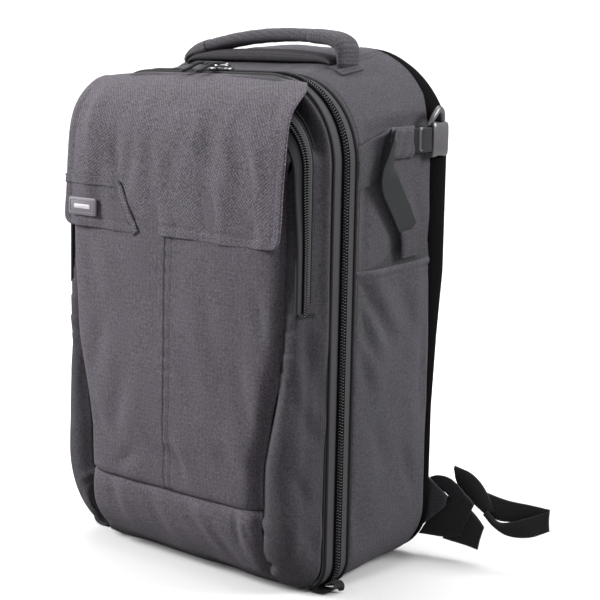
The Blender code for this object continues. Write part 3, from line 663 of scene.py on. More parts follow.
SKIN = {
    "oxford": woven("oxford_fabric", (0.074, 0.069, 0.081), 0.00092, contrast=0.60, depth=0.0003,
                    grain=0.7),
    "gusset": woven("wing_fabric", (0.052, 0.047, 0.056), 0.00092, contrast=0.60, depth=0.0003,
                    grain=0.9),
    "ballistic": woven("ballistic_nylon", (0.105, 0.092, 0.110), 0.00095, over=2, contrast=0.95,
                       depth=0.0005,
                       turn=0.12, grain=1.1),
    "grip": woven("grip_cloth", (0.062, 0.057, 0.066), 0.0009, over=2, contrast=0.7, depth=0.0004,
                  turn=0.6, grain=0.8),
    "wrap": woven("wrap_cloth", (0.072, 0.066, 0.076), 0.0013, over=2, contrast=0.8, depth=0.0005,
                  turn=0.78, grain=0.8),
    "ripstop": woven("ripstop_nylon", (0.084, 0.073, 0.088), 0.00070, contrast=0.45, depth=0.0002,
                     grid=0.0048,
                     grain=0.8),
    "lining": woven("lining_fabric", (0.050, 0.050, 0.056), 0.0005, contrast=0.25, depth=0.0001),
    "velour": brushed("divider_velour", (0.150, 0.155, 0.165)),
    "foam": brushed("closed_cell_foam", (0.075, 0.075, 0.080), 700.0, 0.0004, 0.1),
    "mesh": netted("air_mesh", (0.030, 0.030, 0.033)),
    "tape": webbed("zip_tape", (0.062, 0.060, 0.066), 0.0007, 0.85, 0.35),
    "coil": moulded("nylon_coil", (0.150, 0.148, 0.158), 0.34, specular=0.8),
    "webbing": webbed("black_webbing", (0.020, 0.020, 0.022)),
    "tail": webbed("ribbed_webbing", (0.021, 0.023, 0.024), 0.0012, contrast=0.85, sheen=0.0),
    "bolster": webbed("black_bolster", (0.0035, 0.0035, 0.0040), 0.0008, roughness=0.9, sheen=0.0,
                      specular=0.08),
    # Dark cloth of the band under the grip; its darkness is partly painted shadow of the grip.
    "under": woven("under_grip_and_painted_shadow", (0.034, 0.031, 0.036), 0.0009, contrast=0.5, grain=0.5),
    "binding": webbed("edge_binding", (0.010, 0.010, 0.011), 0.0008),
    "gloss": moulded("acetal_plastic", (0.095, 0.094, 0.100), 0.22, specular=0.6, coat=0.3),
    "plastic": moulded("frame_plastic", (0.020, 0.020, 0.022), 0.5),
    "metal": metal("gunmetal", (0.26, 0.255, 0.265)),
    "rubber": moulded("badge_rubber", (0.150, 0.136, 0.156), 0.55, 0.00008, 1500.0, 0.35),
    "mark": moulded("badge_inlay", (0.50, 0.48, 0.51), 0.5, 0.00005),
    "thread": webbed("seam_thread", (0.060, 0.056, 0.064), 0.0005, 0.7),
    "cord": webbed("pull_cord", (0.016, 0.016, 0.018), 0.0006, 0.55),
}


# ---- the pocket's surface ----
SECTIONS = curve_through(POCKET_SECTIONS, 70)


def section_at(y):
    """Half width, low z, high z, top radius and foot radius of the pocket at a depth."""
    return [np.interp(-np.asarray(y, float), -SECTIONS[:, 0], SECTIONS[:, i]) for i in range(1, 6)]


def margin(x, z, section):
    """Signed distance of points from a section's outline, negative inside."""
    half, low, high, top, foot = section
    upper = z > (low + high) / 2
    radius = np.where(upper, top, foot)
    dx = np.abs(x) - (half - radius)
    dz = np.where(upper, z - (high - radius), (low + radius) - z)
    return np.hypot(np.maximum(dx, 0),
                    np.maximum(dz, 0)) + np.minimum(np.maximum(dx, dz), 0) - radius


def front_y(x, z):
    """Depth of the pocket's surface at a point seen from the front, crowned inside its last section."""
    x, z = np.broadcast_arrays(np.asarray(x, float), np.asarray(z, float))
    margins = np.stack([margin(x, z, s[1:]) for s in SECTIONS])
    beyond = margins > 0
    first = np.clip(np.argmax(beyond, axis=0), 1, len(SECTIONS) - 1)
    far = np.take_along_axis(margins, first[None], 0)[0]
    near = np.take_along_axis(margins, first[None] - 1, 0)[0]
    part = np.clip(-near / np.maximum(far - near, 1e-9), 0, 1)
    y = SECTIONS[first - 1, 0] + (SECTIONS[first, 0] - SECTIONS[first - 1, 0]) * part
    deep = np.clip(-margins[-1] / 0.11, 0, 1)
    front = SECTIONS[-1, 0] - CROWN * (1 - (1 - deep) ** 2)
    return np.where(beyond.any(axis=0), y, front)


def half_at(y, z):
    """Half width of the pocket at a depth and height."""
    half, low, high, top, foot = section_at(y)
    rise = np.maximum(z - (high - top), 0)
    drop = np.maximum((low + foot) - z, 0)
    return (half - top + np.sqrt(np.maximum(top**2 - rise**2, 0))
            + np.sqrt(np.maximum(foot**2 - drop**2, 0)) - foot)


def bottom_z(y, x):
    """Height of the pocket's underside at a depth and distance from the middle."""
    half, low, _, _, foot = section_at(y)
    out = np.clip(np.abs(x) - (half - foot), 0, foot)
    return low + foot - np.sqrt(foot**2 - out**2)


def seam_x(z):
    return np.interp(z, [p[0] for p in PRINCESS_SEAM], [p[1] for p in PRINCESS_SEAM])


def centre_limit(z):
    """Half width of the centre panel: the princess seam, and higher up the bend into the top gusset."""
    return np.minimum(seam_x(z), half_at(GUSSET_FRONT, z))


def wing_row(s, columns):
    """One row of the wing, from the piping forward to the princess seam; s runs up its straight side."""
    rear, front = 0.0045 + (0.412 - 0.0045) * s, 0.060 + (0.378 - 0.060) * s
    y = np.linspace(LID_REAR, SECTIONS[-1, 0], 60)
    guess = (LID_REAR - y) / (LID_REAR - SECTIONS[-1, 0])
    bend = 3.2 + (1.0 - 3.2) * ease(s * 3)
    z = rear + (front - rear) * guess**bend
    x = half_at(y, z)
    plane_x = np.linspace(x[-1], seam_x(front), 12)[1:]
    points = np.stack([x, y, z], axis=1)
    if plane_x[-1] < x[-1]:
        flat = np.stack([plane_x, front_y(plane_x, np.full(11, front)), np.full(11, front)], axis=1)
        points = np.vstack([points, flat])
    keep = points[:, 0] >= seam_x(points[:, 2]) - 1e-6
    keep = np.logical_and.accumulate(keep)
    last = min(int(keep.sum()), len(points) - 1)
    return even(points[: last + 1] if keep.sum() > 1 else points[:2], columns)


def wing_grid():
    """Right wing: up the side, round the top corner and over the top to the middle."""
    columns = 26
    rows = [wing_row(s, columns) for s in np.linspace(0, 1, 140)]
    part = np.linspace(0, 1, columns)
    for turn in np.linspace(0, 90, 50)[1:]:
        front = -0.122 + (GUSSET_FRONT + 0.122) * ease(turn / 27)
        y = LID_REAR + (front - LID_REAR) * part
        half, _, high, top, _ = section_at(y)
        t = math.radians(turn)
        rows.append(np.stack([half - top + top * math.cos(t), y, high - top + top * math.sin(t)],
                             axis=1))
    reach = rows[-1][0][0]
    for x in np.linspace(reach, 0.0, 24)[1:]:
        y = LID_REAR + (GUSSET_FRONT - LID_REAR) * part
        half, _, high, top, _ = section_at(y)
        rows.append(np.stack([(half - top) * x / reach, y, high], axis=1))
    return np.array(rows)


def shape_wing(grid, seed, low_puff, mid_puff):
    """Puff the wing out between its seams, crease it and sink the hollow under the flap's corner."""
    u0, u1, v0, _ = edge_distance(grid)
    y, z = grid[..., 1], grid[..., 2]
    across = np.sin(np.pi * np.clip(u0 / np.maximum(u0 + u1, 1e-6), 0, 1)) ** 0.8
    low = 1 - ease((z - 0.24) / 0.14)
    puff = (0.0012 + low_puff * low + mid_puff * np.exp(-(((z - 0.30) / 0.075) ** 2))) * across
    puff += 0.0014 * ripple(y * 2.0, z, 0.085, seed, 0.7) * across
    puff += tuck(u1, 0.0110, 0.0090) * (1 - ease((z - 0.42) / 0.03)) + tuck(v0, 0.004, 0.004)
    puff += 0.0042 * np.exp(-(((y + 0.0845) / 0.0052) ** 2)) * ease((z - 0.20)
                                                                    / 0.10) + tuck(u0, 0.0040, 0.0026)
    puff += creases(y, z,
                    ((-108, 268, -98, 205, 9, 3.4), (-112, 190, -92, 150, 8, 3.0),
                     (-120, 130, -104, 96, 7, 2.6),
                           (-88, 235, -90, 150, 6, 2.2), (-100, 70, -88, 40, 8, 2.4),
                     (-122, 230, -117, 170, 5, 2.2)))
    hollow = np.exp(-(((y + 0.0945) / 0.0068) ** 2)) * ease((z - 0.412) / 0.035)
    puff -= 0.0160 * hollow * (1 - ease((z - 0.484) / 0.008)) * ease((np.abs(grid[..., 0]) - 0.100)
                                                                     / 0.02)
    return push(grid, puff)


def lean(grid):
    """The filled pocket leans a little towards the right at its front."""
    moved = grid.copy()
    share = np.clip((grid[..., 0] + 0.150) / 0.150, 0, 1)
    moved[..., 0] += 0.0050 * share * ease((-grid[...,
                                                  1] - 0.104) / 0.016) * (1 - ease((grid[..., 2] - 0.33) / 0.08))
    return moved


def mirrored(grid):
    return grid * np.array((-1.0, 1.0, 1.0))


def make_wings():
    base = wing_grid()
    for name, sign, seed, low_puff, mid_puff in (("right", 1, 3, 0.0040, 0.0),
                                                 ("left", -1, 8, 0.0012, 0.0060)):
        grid = shape_wing(base, seed, low_puff, mid_puff)
        grid = lean(grid if sign > 0 else mirrored(grid))
        made = cloth(f"wing_{name}", grid, SKIN["gusset"], 0.0014)
        finish(made, "lid", "wing_fabric", f"pocket_wing_{name}")
        sew_grid(grid, "lid", column=2, cut=slice(4, 186))
        sew_grid(grid, "lid", row=3, cut=slice(2, 24))
    return base


def make_centre():
    """Ripstop front panel with a double-needle seam down its middle."""
    rows, columns = 150, 121
    z = BAND_TOP + (0.469 - BAND_TOP) * np.linspace(0, 1, rows)[:, None]
    u = np.linspace(-1, 1, columns)[None]
    x = u * centre_limit(z)
    z = np.broadcast_to(z, x.shape)
    grid = np.stack([x, front_y(x, z), z], axis=2)
    left, right, low, _ = edge_distance(grid)
    side = np.minimum(left, right)
    seam = 0.003 + 0.006 * (z - 0.3)
    middle = np.abs(x - seam)
    lift = 0.0030 * ease(side / 0.035) + 0.0015 * ripple(x, z, 0.10, 21, 0.6)
    lift += tuck(side, 0.0110, 0.0090) + tuck(low, 0.0034, 0.0035)
    lift += tuck(np.abs(middle - 0.0026), 0.0011,
                 0.0012) + 0.0007 * np.exp(-((middle / 0.0012) ** 2))
    pucker = np.exp(-((middle / 0.012) ** 2)) * np.sin(2 * math.pi * z / 0.019 + 2.0
                                                       * np.sin(z * 60))
    lift += 0.0004 * pucker
    lift += creases(x, z, (
        (-18, 128, 30, 108, 9, 2.8), (-92, 250, -108, 175, 12, 2.4), (-60, 190, -78, 120, 11, 2.2),
        (52, 300, 66, 228, 12, 1.9), (96, 230, 112, 150, 10, 2.4), (20, 250, 44, 170, 13, 1.8),
        (-112, 160, -84, 118, 8, 2.6), (70, 140, 104, 112, 9, 2.4), (-40, 118, -70, 96, 8, 2.0),
        (-120, 330, -96, 260, 12, 2.4), (118, 300, 128, 240, 7, 1.9), (6, 142, 28, 96, 6, 2.0)))
    grid = lean(push(grid, lift))
    made = cloth("front_panel", grid, SKIN["ripstop"], 0.0012)
    finish(made, "lid", "ripstop_nylon", "pocket_centre")
    normal = normals_of(grid)
    for offset in (-0.0050, 0.0050):
        at = np.argmin(np.abs(x - seam - offset), axis=1)
        rows_at = np.arange(rows)
        sew(grid[rows_at, at], normal[rows_at, at], "lid")
    for column in (3, columns - 4):
        sew_grid(grid, "lid", column=column, cut=slice(0, 112))


def make_band(wing):
    """Lower front panel: round the base of the pocket, up to the seam under the front panel."""
    edge = wing[0]
    u = np.linspace(-1, 1, 131)[None]
    x = u * edge[:, :1]
    y = np.broadcast_to(edge[:, 1:2], x.shape)
    under = np.stack([x, y, bottom_z(y, x)], axis=2)
    last = under[-1]
    rise = np.linspace(0, 1, 14)[1:, None]
    z = last[None, :, 2] + (BAND_TOP - last[None, :, 2]) * rise
    x = u * (edge[-1, 0] + (seam_x(BAND_TOP) - edge[-1, 0]) * rise)
    face = np.stack([x, front_y(x, z), z], axis=2)
    under[-1, :, 1] = (under[-1, :, 1] + face[0, :, 1]) / 2
    grid = np.concatenate([under, face])
    left, right, _, high = edge_distance(grid)
    x, z = grid[..., 0], grid[..., 2]
    lift = 0.0020 * ease(high / 0.02) + 0.0012 * ripple(x, z, 0.06, 33)
    lift += tuck(np.minimum(left, right), 0.0090, 0.0075) + tuck(high, 0.0032, 0.0035)
    lift += creases(x, z,
                    ((22, 74, 56, 34, 7, 2.8), (56, 62, 82, 26, 7, 2.4), (92, 80, 96, 44, 5, 2.6),
                           (-86, 76, -70, 40, 8, 2.4), (-30, 70, -6, 34, 7, 2.0),
                     (104, 72, 112, 52, 4, 1.8)))
    grid = lean(push(grid, lift))
    finish(cloth("front_band", grid, SKIN["ripstop"], 0.0014), "lid", "ripstop_nylon",
           "pocket_band")
    sew_grid(grid, "lid", row=len(grid) - 4)


# ---- flap ----
def flap_base(rows=118, columns=126):
    profile = curve_through(FLAP_PROFILE, rows)
    u = np.linspace(-1, 1, columns)[None]
    turn = np.clip((FLAP_LOW + CORNER_RADIUS - profile[:, 1:2]) / CORNER_RADIUS, 0, 1)
    tuck_in = CORNER_RADIUS * (1 - np.sqrt(1 - turn**2))
    x = u * (np.where(u > 0, profile[:, 2:3],
                      profile[:, 3:4]) - tuck_in * ease((np.abs(u) - 0.80) / 0.20))
    droop = 0.0062 * np.abs(u) ** 3 * (1 - ease((FLAP_ROOT - profile[:, 1:2]) / 0.05))
    return np.stack([x, np.broadcast_to(profile[:, :1], x.shape), profile[:, 1:2] - droop], axis=2)


def shape_flap(grid):
    """Drape: soft vertical rolls, hems stitched along both sides and the lower edge."""
    left, right, top, low = edge_distance(grid)
    side = np.minimum(left, right)
    edge = np.minimum(side, low)
    x, z = grid[..., 0], grid[..., 2]
    hang = ease(top / 0.07)
    lift = 0.0018 * ripple(x, z, 0.075, 51,
                           0.35) * hang + 0.0009 * ripple(x, z, 0.035, 52, 0.4) * hang
    lift -= 0.0026 * hang * ease(1 - side / 0.05) * ease(low / 0.05)
    lift += tuck(np.abs(edge - 0.0095), 0.0008, 0.0011) * hang + 0.0005 * (edge < 0.0090)
    lift += creases(x, z, (
        (88, 452, 104, 392, 8, 3.2), (104, 440, 122, 384, 7, 3.0), (60, 448, 66, 400, 10, 2.2),
        (-74, 430, -66, 392, 8, 2.8), (-50, 420, -52, 372, 9, 2.0), (10, 440, 16, 370, 14, 1.8),
        (40, 400, 78, 352, 10, 2.0), (128, 474, 144, 444, 6, 2.2), (-128, 462, -116, 420, 9, 2.2),
        (-30, 462, 40, 466, 10, 1.4), (92, 380, 128, 350, 9, 1.8)))
    grid = push(grid, lift, centre=FLAP_INSIDE)
    sway = 0.0012 * np.sin(grid[..., 0] * 42 + 0.6) * ease(1 - low / 0.08)
    grid[..., 2] += sway * 0.6
    grid[..., 1] -= 0.5 * np.abs(sway)
    return grid


def make_flap():
    grid = shape_flap(flap_base())
    made = cloth("front_flap", grid, SKIN["ballistic"], 0.0019, centre=FLAP_INSIDE)
    finish_blend(made, ("lid", "flap"), (0, -0.0815, 0.4925), (0, -0.0930, 0.4880),
                 "ballistic_nylon", "flap")
    normal = normals_of(grid, centre=FLAP_INSIDE)
    left, _, top, _ = edge_distance(grid)
    step_u, step_v = left[60, 1], top[1, 60]
    inset, keep = 0.0095, int(0.030 / step_v)
    column, row = round(inset / step_u), len(grid) - 1 - round(inset / step_v)
    for at in (column, grid.shape[1] - 1 - column):
        sew_grid(grid, "flap", column=at, cut=slice(keep, row), normals=normal)
    start = int((0.150 - 0.030) / step_u)
    sew_grid(grid, "flap", row=row, cut=slice(start, -column), normals=normal)
    return grid


def on_flap(grid, x, z):
    """Points on the flap's front at given x and z below its bend."""
    column = np.clip((np.asarray(x) - grid[90, 0, 0]) / (grid[90, -1, 0] - grid[90, 0, 0]), 0,
                     1) * (grid.shape[1] - 1)
    heights = grid[60:, 60, 2]
    row = 60 + np.interp(-np.asarray(z), -heights, np.arange(len(heights)))
    c0, r0 = np.floor(column).astype(int), np.floor(row).astype(int)
    c1, r1 = np.minimum(c0 + 1, grid.shape[1] - 1), np.minimum(r0 + 1, len(grid) - 1)
    fc, fr = (column - c0)[..., None], (row - r0)[..., None]
    near = grid[r0, c0] * (1 - fc) + grid[r0, c1] * fc
    far = grid[r1, c0] * (1 - fc) + grid[r1, c1] * fc
    return near * (1 - fr) + far * fr


def make_flap_insert(grid):
    """Ripstop corner of the flap, with a folded strip sewn over its raw edge."""
    top_z, low_z, corner, foot = 0.3805, 0.3378, -0.0640, -0.0350
    v, u = np.meshgrid(np.linspace(0, 1, 24), np.linspace(0, 1, 60), indexing="ij")
    z = top_z + (low_z - top_z) * v
    left = -0.1460
    right = corner + (foot - corner) * v
    x = left + (right - left) * u
    patch = on_flap(grid, x, z)
    patch[..., 1] -= 0.0007 + 0.0004 * np.sin(np.pi * u) * np.sin(np.pi * v)
    centre = np.array((0.0, 0.05, 0.36))
    finish(cloth("flap_corner", patch, SKIN["ripstop"], 0.0006, centre=centre), "flap",
           "ripstop_nylon", "flap_insert")
    line = np.vstack([np.linspace((left, 0.3848), (corner - 0.004, 0.3848), 40),
                      [(corner + 0.0015, 0.3835)],
                      np.linspace((corner + 0.0055, 0.3790), (foot + 0.0035, low_z), 24)])
    path = on_flap(grid, line[:, 0], line[:, 1])
    path[:, 1] -= 0.0013
    _, side, up = frames_along(path, (0, -1, 0))
    strip = loft("flap_strip", path, side, up, web_profile(0.0092, 0.0013, 1, 0.0),
                 SKIN["ballistic"])
    finish(strip, "flap", "ballistic_nylon")
    for offset in (-0.0035, 0.0035):
        sew(path + side * offset + up * 0.00075, up, "flap")


def make_badge(grid):
    """Blank moulded badge: rounded plate, raised rim and a plain inlaid bar."""
    low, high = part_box("flap_badge")
    x0, x1, z0, z1 = low.x, high.x, low.z, high.z
    middle = on_flap(grid, np.array([(x0 + x1) / 2]), np.array([(z0 + z1) / 2]))[0]
    y = middle[1] - 0.0012
    plate = plaque("badge_plate", x0, x1, z0, z1, 0.0026, y, -0.0016, SKIN["rubber"])
    finish(plate, "flap", "badge_rubber", "flap_badge")
    inset = 0.0026
    ring = rounded_path(x0 + inset, x1 - inset, z0 + inset, z1 - inset, 0.0016)
    path = np.array([(x, y - 0.0017, z) for x, z in ring])
    finish(tube("badge_rim", path, 0.0004, SKIN["rubber"], closed=True, sides=8,
                up_hint=(0, -1, 0)), "flap",
           "badge_rubber")
    bar_low, bar_high = z0 + 0.0068, z1 - 0.0068
    bars = plaque("badge_bar", x0 + 0.009, x1 - 0.009, bar_low, bar_high, 0.0012, y - 0.0014,
                  -0.0006, SKIN["mark"])
    finish(bars, "flap", "badge_rubber")


def rounded_path(x0, x1, z0, z1, radius, steps=6):
    points = []
    for cx, cz, start in ((x1 - radius, z0 + radius, -90), (x1 - radius, z1 - radius, 0),
                          (x0 + radius, z1 - radius, 90), (x0 + radius, z0 + radius, 180)):
        points += arc(cx, cz, radius, start, start + 90, steps)
    return points


def plaque(name, x0, x1, z0, z1, radius, y, depth, skin):
    """Rounded plate with softened edges, facing -Y."""
    rim = np.array(rounded_path(x0, x1, z0, z1, radius))
    centre = np.array(((x0 + x1) / 2, (z0 + z1) / 2))
    soft = min(0.0006, abs(depth) * 0.6)
    rings = []
    for inset, part in ((0, 0), (0, 0.5), (soft * 0.3, 0.85), (soft, 1.0)):
        ring = rim + unit(centre - rim) * inset
        rings.append([(x, y + depth * part, z) for x, z in ring])
    count = len(rim)
    points = [p for ring in rings for p in ring]
    faces = [(r * count + i, r * count + (i + 1) % count, (r + 1) * count + (i + 1) % count,
              (r + 1) * count + i)
             for r in range(3) for i in range(count)]
    faces += [tuple(range(3 * count, 4 * count)), tuple(range(count - 1, -1, -1))]
    made = mesh_object(name, points, faces, skin)
    face_out(made.data)
    made.data.set_sharp_from_angle(angle=math.radians(50))
    return made


# ---- zips ----
TOOTH = pill(0.0040, 0.00085, 0.0019, 6)
SMALL_TOOTH = pill(0.0027, 0.00070, 0.0014, 6)


def arch_path(out=0.0, count=520, foot_start=-58.0):
    """The main zip's line, pushed out by a distance, with its outward normals."""
    line = outline(HALF_WIDTH + out, -out, ZIP_TOP + out, ZIP_TOP_RADIUS + out, FOOT_RADIUS + out,
                   foot_start)
    line = even(line, count)
    along = unit(np.gradient(line, axis=0))
    return line, np.stack([along[:, 1], -along[:, 0]], axis=1)


def arch_points(line, y):
    return np.stack([line[:, 0], np.broadcast_to(y, len(line)), line[:, 1]], axis=1)


def make_tape(name, y0, y1, body, node, coil_at):
    """Herringbone tape along the arch, slightly raised at the coil and sunk at its sewn edge."""
    line, out = arch_path()
    y = np.linspace(y0, y1, 9)
    toward = np.abs(y - coil_at) / abs(y1 - y0)
    rise = 0.0006 * (1 - toward) ** 2 + 0.0005
    grid = np.stack([arch_points(line, yi) + arch_points(out, 0.0) * r
                     for yi, r in zip(y, rise)], axis=1)
    finish(cloth(name, grid, SKIN["tape"], 0.0009), body, "zip_tape", node)
    normal = normals_of(grid)
    for column in (2, 6):
        if abs(y[column] - coil_at) > 0.006:
            sew(grid[:, column], normal[:, column], body, 0.0030)


def make_chain(name, body, sign, node):
    """Half of the main zip's coil: one bent loop for each pitch, leaning towards the other half."""
    pitch = 0.00290
    line, out = arch_path(0.0026)
    count = int(length_of(line) / pitch)
    both = even(np.hstack([line, out * 0.001]), count * 2)[0 if sign < 0 else 1 :: 2]
    origin = arch_points(both[:, :2], ZIP_PLANE + sign * 0.0023)
    up = unit(both[:, 2:])
    up = arch_points(up, 0.0)
    along = np.cross(up, np.array((0.0, 1.0, 0.0)))
    lean = unit(np.array((0.0, 1.0, 0.0)) + along * 0.16 * sign)
    teeth = stamped(name, TOOTH, origin + up * 0.0004, lean, np.cross(up, lean), up, SKIN["coil"])
    finish(teeth, body, "nylon_coil", node)
    core = arch_points(line, ZIP_PLANE + sign * 0.0026) - arch_points(out, 0.0) * 0.0009
    finish(tube(name + "_core", core, 0.0024, SKIN["bolster"], sides=8, up_hint=(0, 1, 0)), body,
           "nylon_coil")


def make_main_zip():
    make_tape("lid_tape", ZIP_PLANE - TAPE_WIDTH - 0.0038, ZIP_PLANE - 0.0005, "lid",
              "lid_zip_tape", ZIP_PLANE)
    make_tape("shell_tape", ZIP_PLANE + 0.0005, ZIP_PLANE + TAPE_WIDTH + 0.0038, "root",
              "shell_zip_tape", ZIP_PLANE)
    make_chain("lid_coil", "lid", -1, "lid_zip_coil")
    make_chain("shell_coil", "root", 1, "shell_zip_coil")
    for name, y, body, out in (("lid_piping", LID_REAR + 0.0008, "lid", 0.0012),
                               ("shell_piping", SHELL_FRONT - 0.0012, "root", 0.0010)):
        line, _ = arch_path(out, foot_start=-66.0)
        piping = tube(name, arch_points(line, y), 0.0017, SKIN["binding"], sides=10,
                      up_hint=(0, 1, 0))
        finish(piping, body, "black_webbing")


def make_zip_ends():
    """Webbing loop sewn over each lower end of the main zip, for holding the bag while unzipping."""
    for name, sign in (("right", 1), ("left", -1)):
        points = [(0.148, -0.070, 0.0022), (0.157, -0.071, 0.0016), (0.167, -0.069, 0.0030),
                  (0.1725, -0.066, 0.0065),
                  (0.168, -0.063, 0.0088), (0.160, -0.062, 0.0070)]
        points = np.array(points) * (sign, 1, 1)
        made = webbing(f"zip_end_{name}", points, [(0.05 * sign, 1.0, 0.1)] * 6, SKIN["binding"],
                       0.016, 0.0015, 40, 5)
        finish(made, "lid", "black_webbing")


def make_slider(name, turn):
    """Cast slider: shield body, side rails, bail, ring and moulded cord loop."""
    low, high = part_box(f"main_slider_{name}")
    x, y, z = (low.x + high.x) / 2, ZIP_PLANE, low.z
    shield = [(-0.0052, -0.0052), (0.0, -0.0060), (0.0040, -0.0058), (0.0056, -0.0022),
              (0.0056, 0.0022),
              (0.0040, 0.0058), (0.0, 0.0060), (-0.0052, 0.0052), (-0.0046, 0.0)]
    flip = -1.0 if name == "left" else 1.0
    rings = []
    for grow, height in ((0.94, 0.0), (1.0, 0.0006), (1.0, 0.0021), (0.93, 0.0028), (0.72, 0.0031)):
        rings.append([(x + px * grow * flip, y + py * grow, z + height) for px, py in shield])
    count = len(shield)
    faces = [(r * count + i, r * count + (i + 1) % count, (r + 1) * count + (i + 1) % count,
              (r + 1) * count + i)
             for r in range(4) for i in range(count)]
    faces += [tuple(range(count - 1, -1, -1)), tuple(range(4 * count, 5 * count))]
    body = mesh_object(f"slider_{name}", [p for ring in rings for p in ring], faces, SKIN["metal"])
    face_out(body.data)
    round_edges(body, 0.0005)
    finish(body, f"slider_{name}", "gunmetal", f"main_slider_{name}")
    bail = [(x, y + 0.0044 * math.cos(t), z + 0.0022 + 0.0046 * math.sin(t))
            for t in np.linspace(0, math.pi, 14)]
    finish(tube(f"bail_{name}", bail, 0.00085, SKIN["metal"], sides=10, up_hint=(1, 0, 0)),
           f"slider_{name}", "gunmetal")
    way = np.array((math.sin(turn), -math.cos(turn), 0.0))
    across = np.array((-way[1], way[0], 0.0))
    start = np.array((x, y, z + 0.0047))
    ring = [start + way * 0.0068 + (way * math.cos(t) + across * math.sin(t)) * 0.0072
            for t in full_turn(32)]
    pull = tube(f"pull_ring_{name}", ring, 0.00130, SKIN["metal"], closed=True, up_hint=(0, 0, 1))
    finish(pull, f"pull_{name}", "gunmetal", f"pull_{name}_ring")
    middle = start + way * 0.0215

    def droop(p):
        return np.array((0, 0, 0.0026 - 0.0080 * ease((p + 0.3) / 1.3)))

    loop = []
    for t in full_turn(48):
        wide = 0.0046 * (1.0 - 0.25 * math.cos(t))
        loop.append(middle + way * 0.0145 * math.cos(t) + across * wide * math.sin(t)
                    + droop(math.cos(t)))
    cord = tube(f"pull_cord_{name}", loop, 0.0016, SKIN["cord"], closed=True, up_hint=(0, 0, 1))
    finish(cord, f"pull_{name}", "black_webbing", f"pull_{name}_cord")
    grip = [middle + way * (0.0035 + 0.0105 * p) + droop(0.25 + 0.75 * p)
            for p in np.linspace(0, 1, 9)]
    sizes = [round_profile(0.0034 * s, 0.0020 * s, 12)
             for s in (0.55, 0.85, 1.0, 1.02, 1.0, 1.02, 1.0, 0.85, 0.5)]
    _, side, up = frames_along(grip, (0, 0, 1))
    finish(loft(f"pull_grip_{name}", grip, side, up, sizes, SKIN["plastic"]), f"pull_{name}",
           "black_webbing")


def round_edges(obj, width, segments=3, angle=35):
    bevel = obj.modifiers.new("edges", "BEVEL")
    bevel.width = width
    bevel.segments = segments
    bevel.limit_method = "ANGLE"
    bevel.angle_limit = math.radians(angle)
    bevel.harden_normals = True
    return obj


def pocket_zip_line(offset=0.0, lift=0.0, count=190):
    """The pocket zip's line up the right gusset and along the top, moved across the tape."""
    y = POCKET_ZIP_Y + offset
    half, _, high, top, _ = section_at(y)
    turns = np.radians(np.linspace(0, 90, 40))
    side = np.linspace(0.276, high - top, 60)[:-1]
    flat = np.linspace(half - top, 0.040, 24)[1:]
    x = np.r_[np.full(59, half + lift), half - top + (top + lift) * np.cos(turns), flat]
    z = np.r_[side, high - top + (top + lift) * np.sin(turns), np.full(23, high + lift)]
    return even(np.stack([x, np.full(len(x), y), z], axis=1), count)


def make_pocket_zip():
    """Pocket zip on both gussets: tape, coil, dark piping on its front side and a stitched lower end."""
    offsets = np.linspace(-0.0080, 0.0080, 11)
    lifts = np.interp(offsets, (-0.0080, 0.0, 0.0080), (0.0022, 0.0036, 0.0028))
    for name, sign in (("right", 1), ("left", -1)):
        flip = np.array((sign, 1.0, 1.0))
        grid = lean(np.stack([pocket_zip_line(o, h) for o, h in zip(offsets, lifts)],
                             axis=1) * flip)
        made = cloth(f"pocket_tape_{name}", grid, SKIN["tape"], 0.0010)
        finish(made, "lid", "zip_tape", *(("pocket_zip",) if sign > 0 else ()))
        normal = normals_of(grid)
        for half, shift in ((-1, 0), (1, 1)):
            line = lean(pocket_zip_line(half * 0.0013, 0.0052) * flip)
            count = int(length_of(line) / 0.00240)
            points = even(np.hstack([line, normal[:, 5] * 0.001]), count * 2)[shift::2]
            origin, up = points[:, :3], unit(points[:, 3:])
            along = unit(np.gradient(origin, axis=0))
            side = unit(np.cross(up, along))
            teeth = stamped(f"pocket_coil_{name}_{'front' if half < 0 else 'rear'}", SMALL_TOOTH,
                            origin,
                            unit(side + along * 0.2 * half), along, up, SKIN["coil"])
            finish(teeth, "lid", "nylon_coil")
            bed = lean(pocket_zip_line(half * 0.0017, 0.0040) * flip)
            finish(tube(f"pocket_coil_{name}_bed_{'front' if half < 0 else 'rear'}", bed, 0.0015,
                        SKIN["bolster"],
                        sides=8, up_hint=(0, 1, 0.1)), "lid", "nylon_coil")
        for edge, offset, radius in (("front", -0.0088, 0.0018), ("rear", 0.0086, 0.0008)):
            line = lean(pocket_zip_line(offset, 0.0026) * flip)
            finish(tube(f"pocket_piping_{name}_{edge}", line, radius, SKIN["binding"], sides=8,
                        up_hint=(0, 1, 0.1)),
                   "lid", "black_webbing")
        sew(lean(pocket_zip_line(0.0122, 0.0022) * flip), normal[:, -1], "lid")
        end = lean(np.array([pocket_zip_line(o, 0.0044)[0]
                             for o in np.linspace(-0.0090, 0.0130, 14)]) * flip)
        bar = loft(f"pocket_zip_end_{name}", end, *frames_along(end, (sign, 0, 0))[1:],
                   web_profile(0.0040, 0.0013, 1, 0.0), SKIN["binding"])
        finish(bar, "lid", "oxford_fabric")


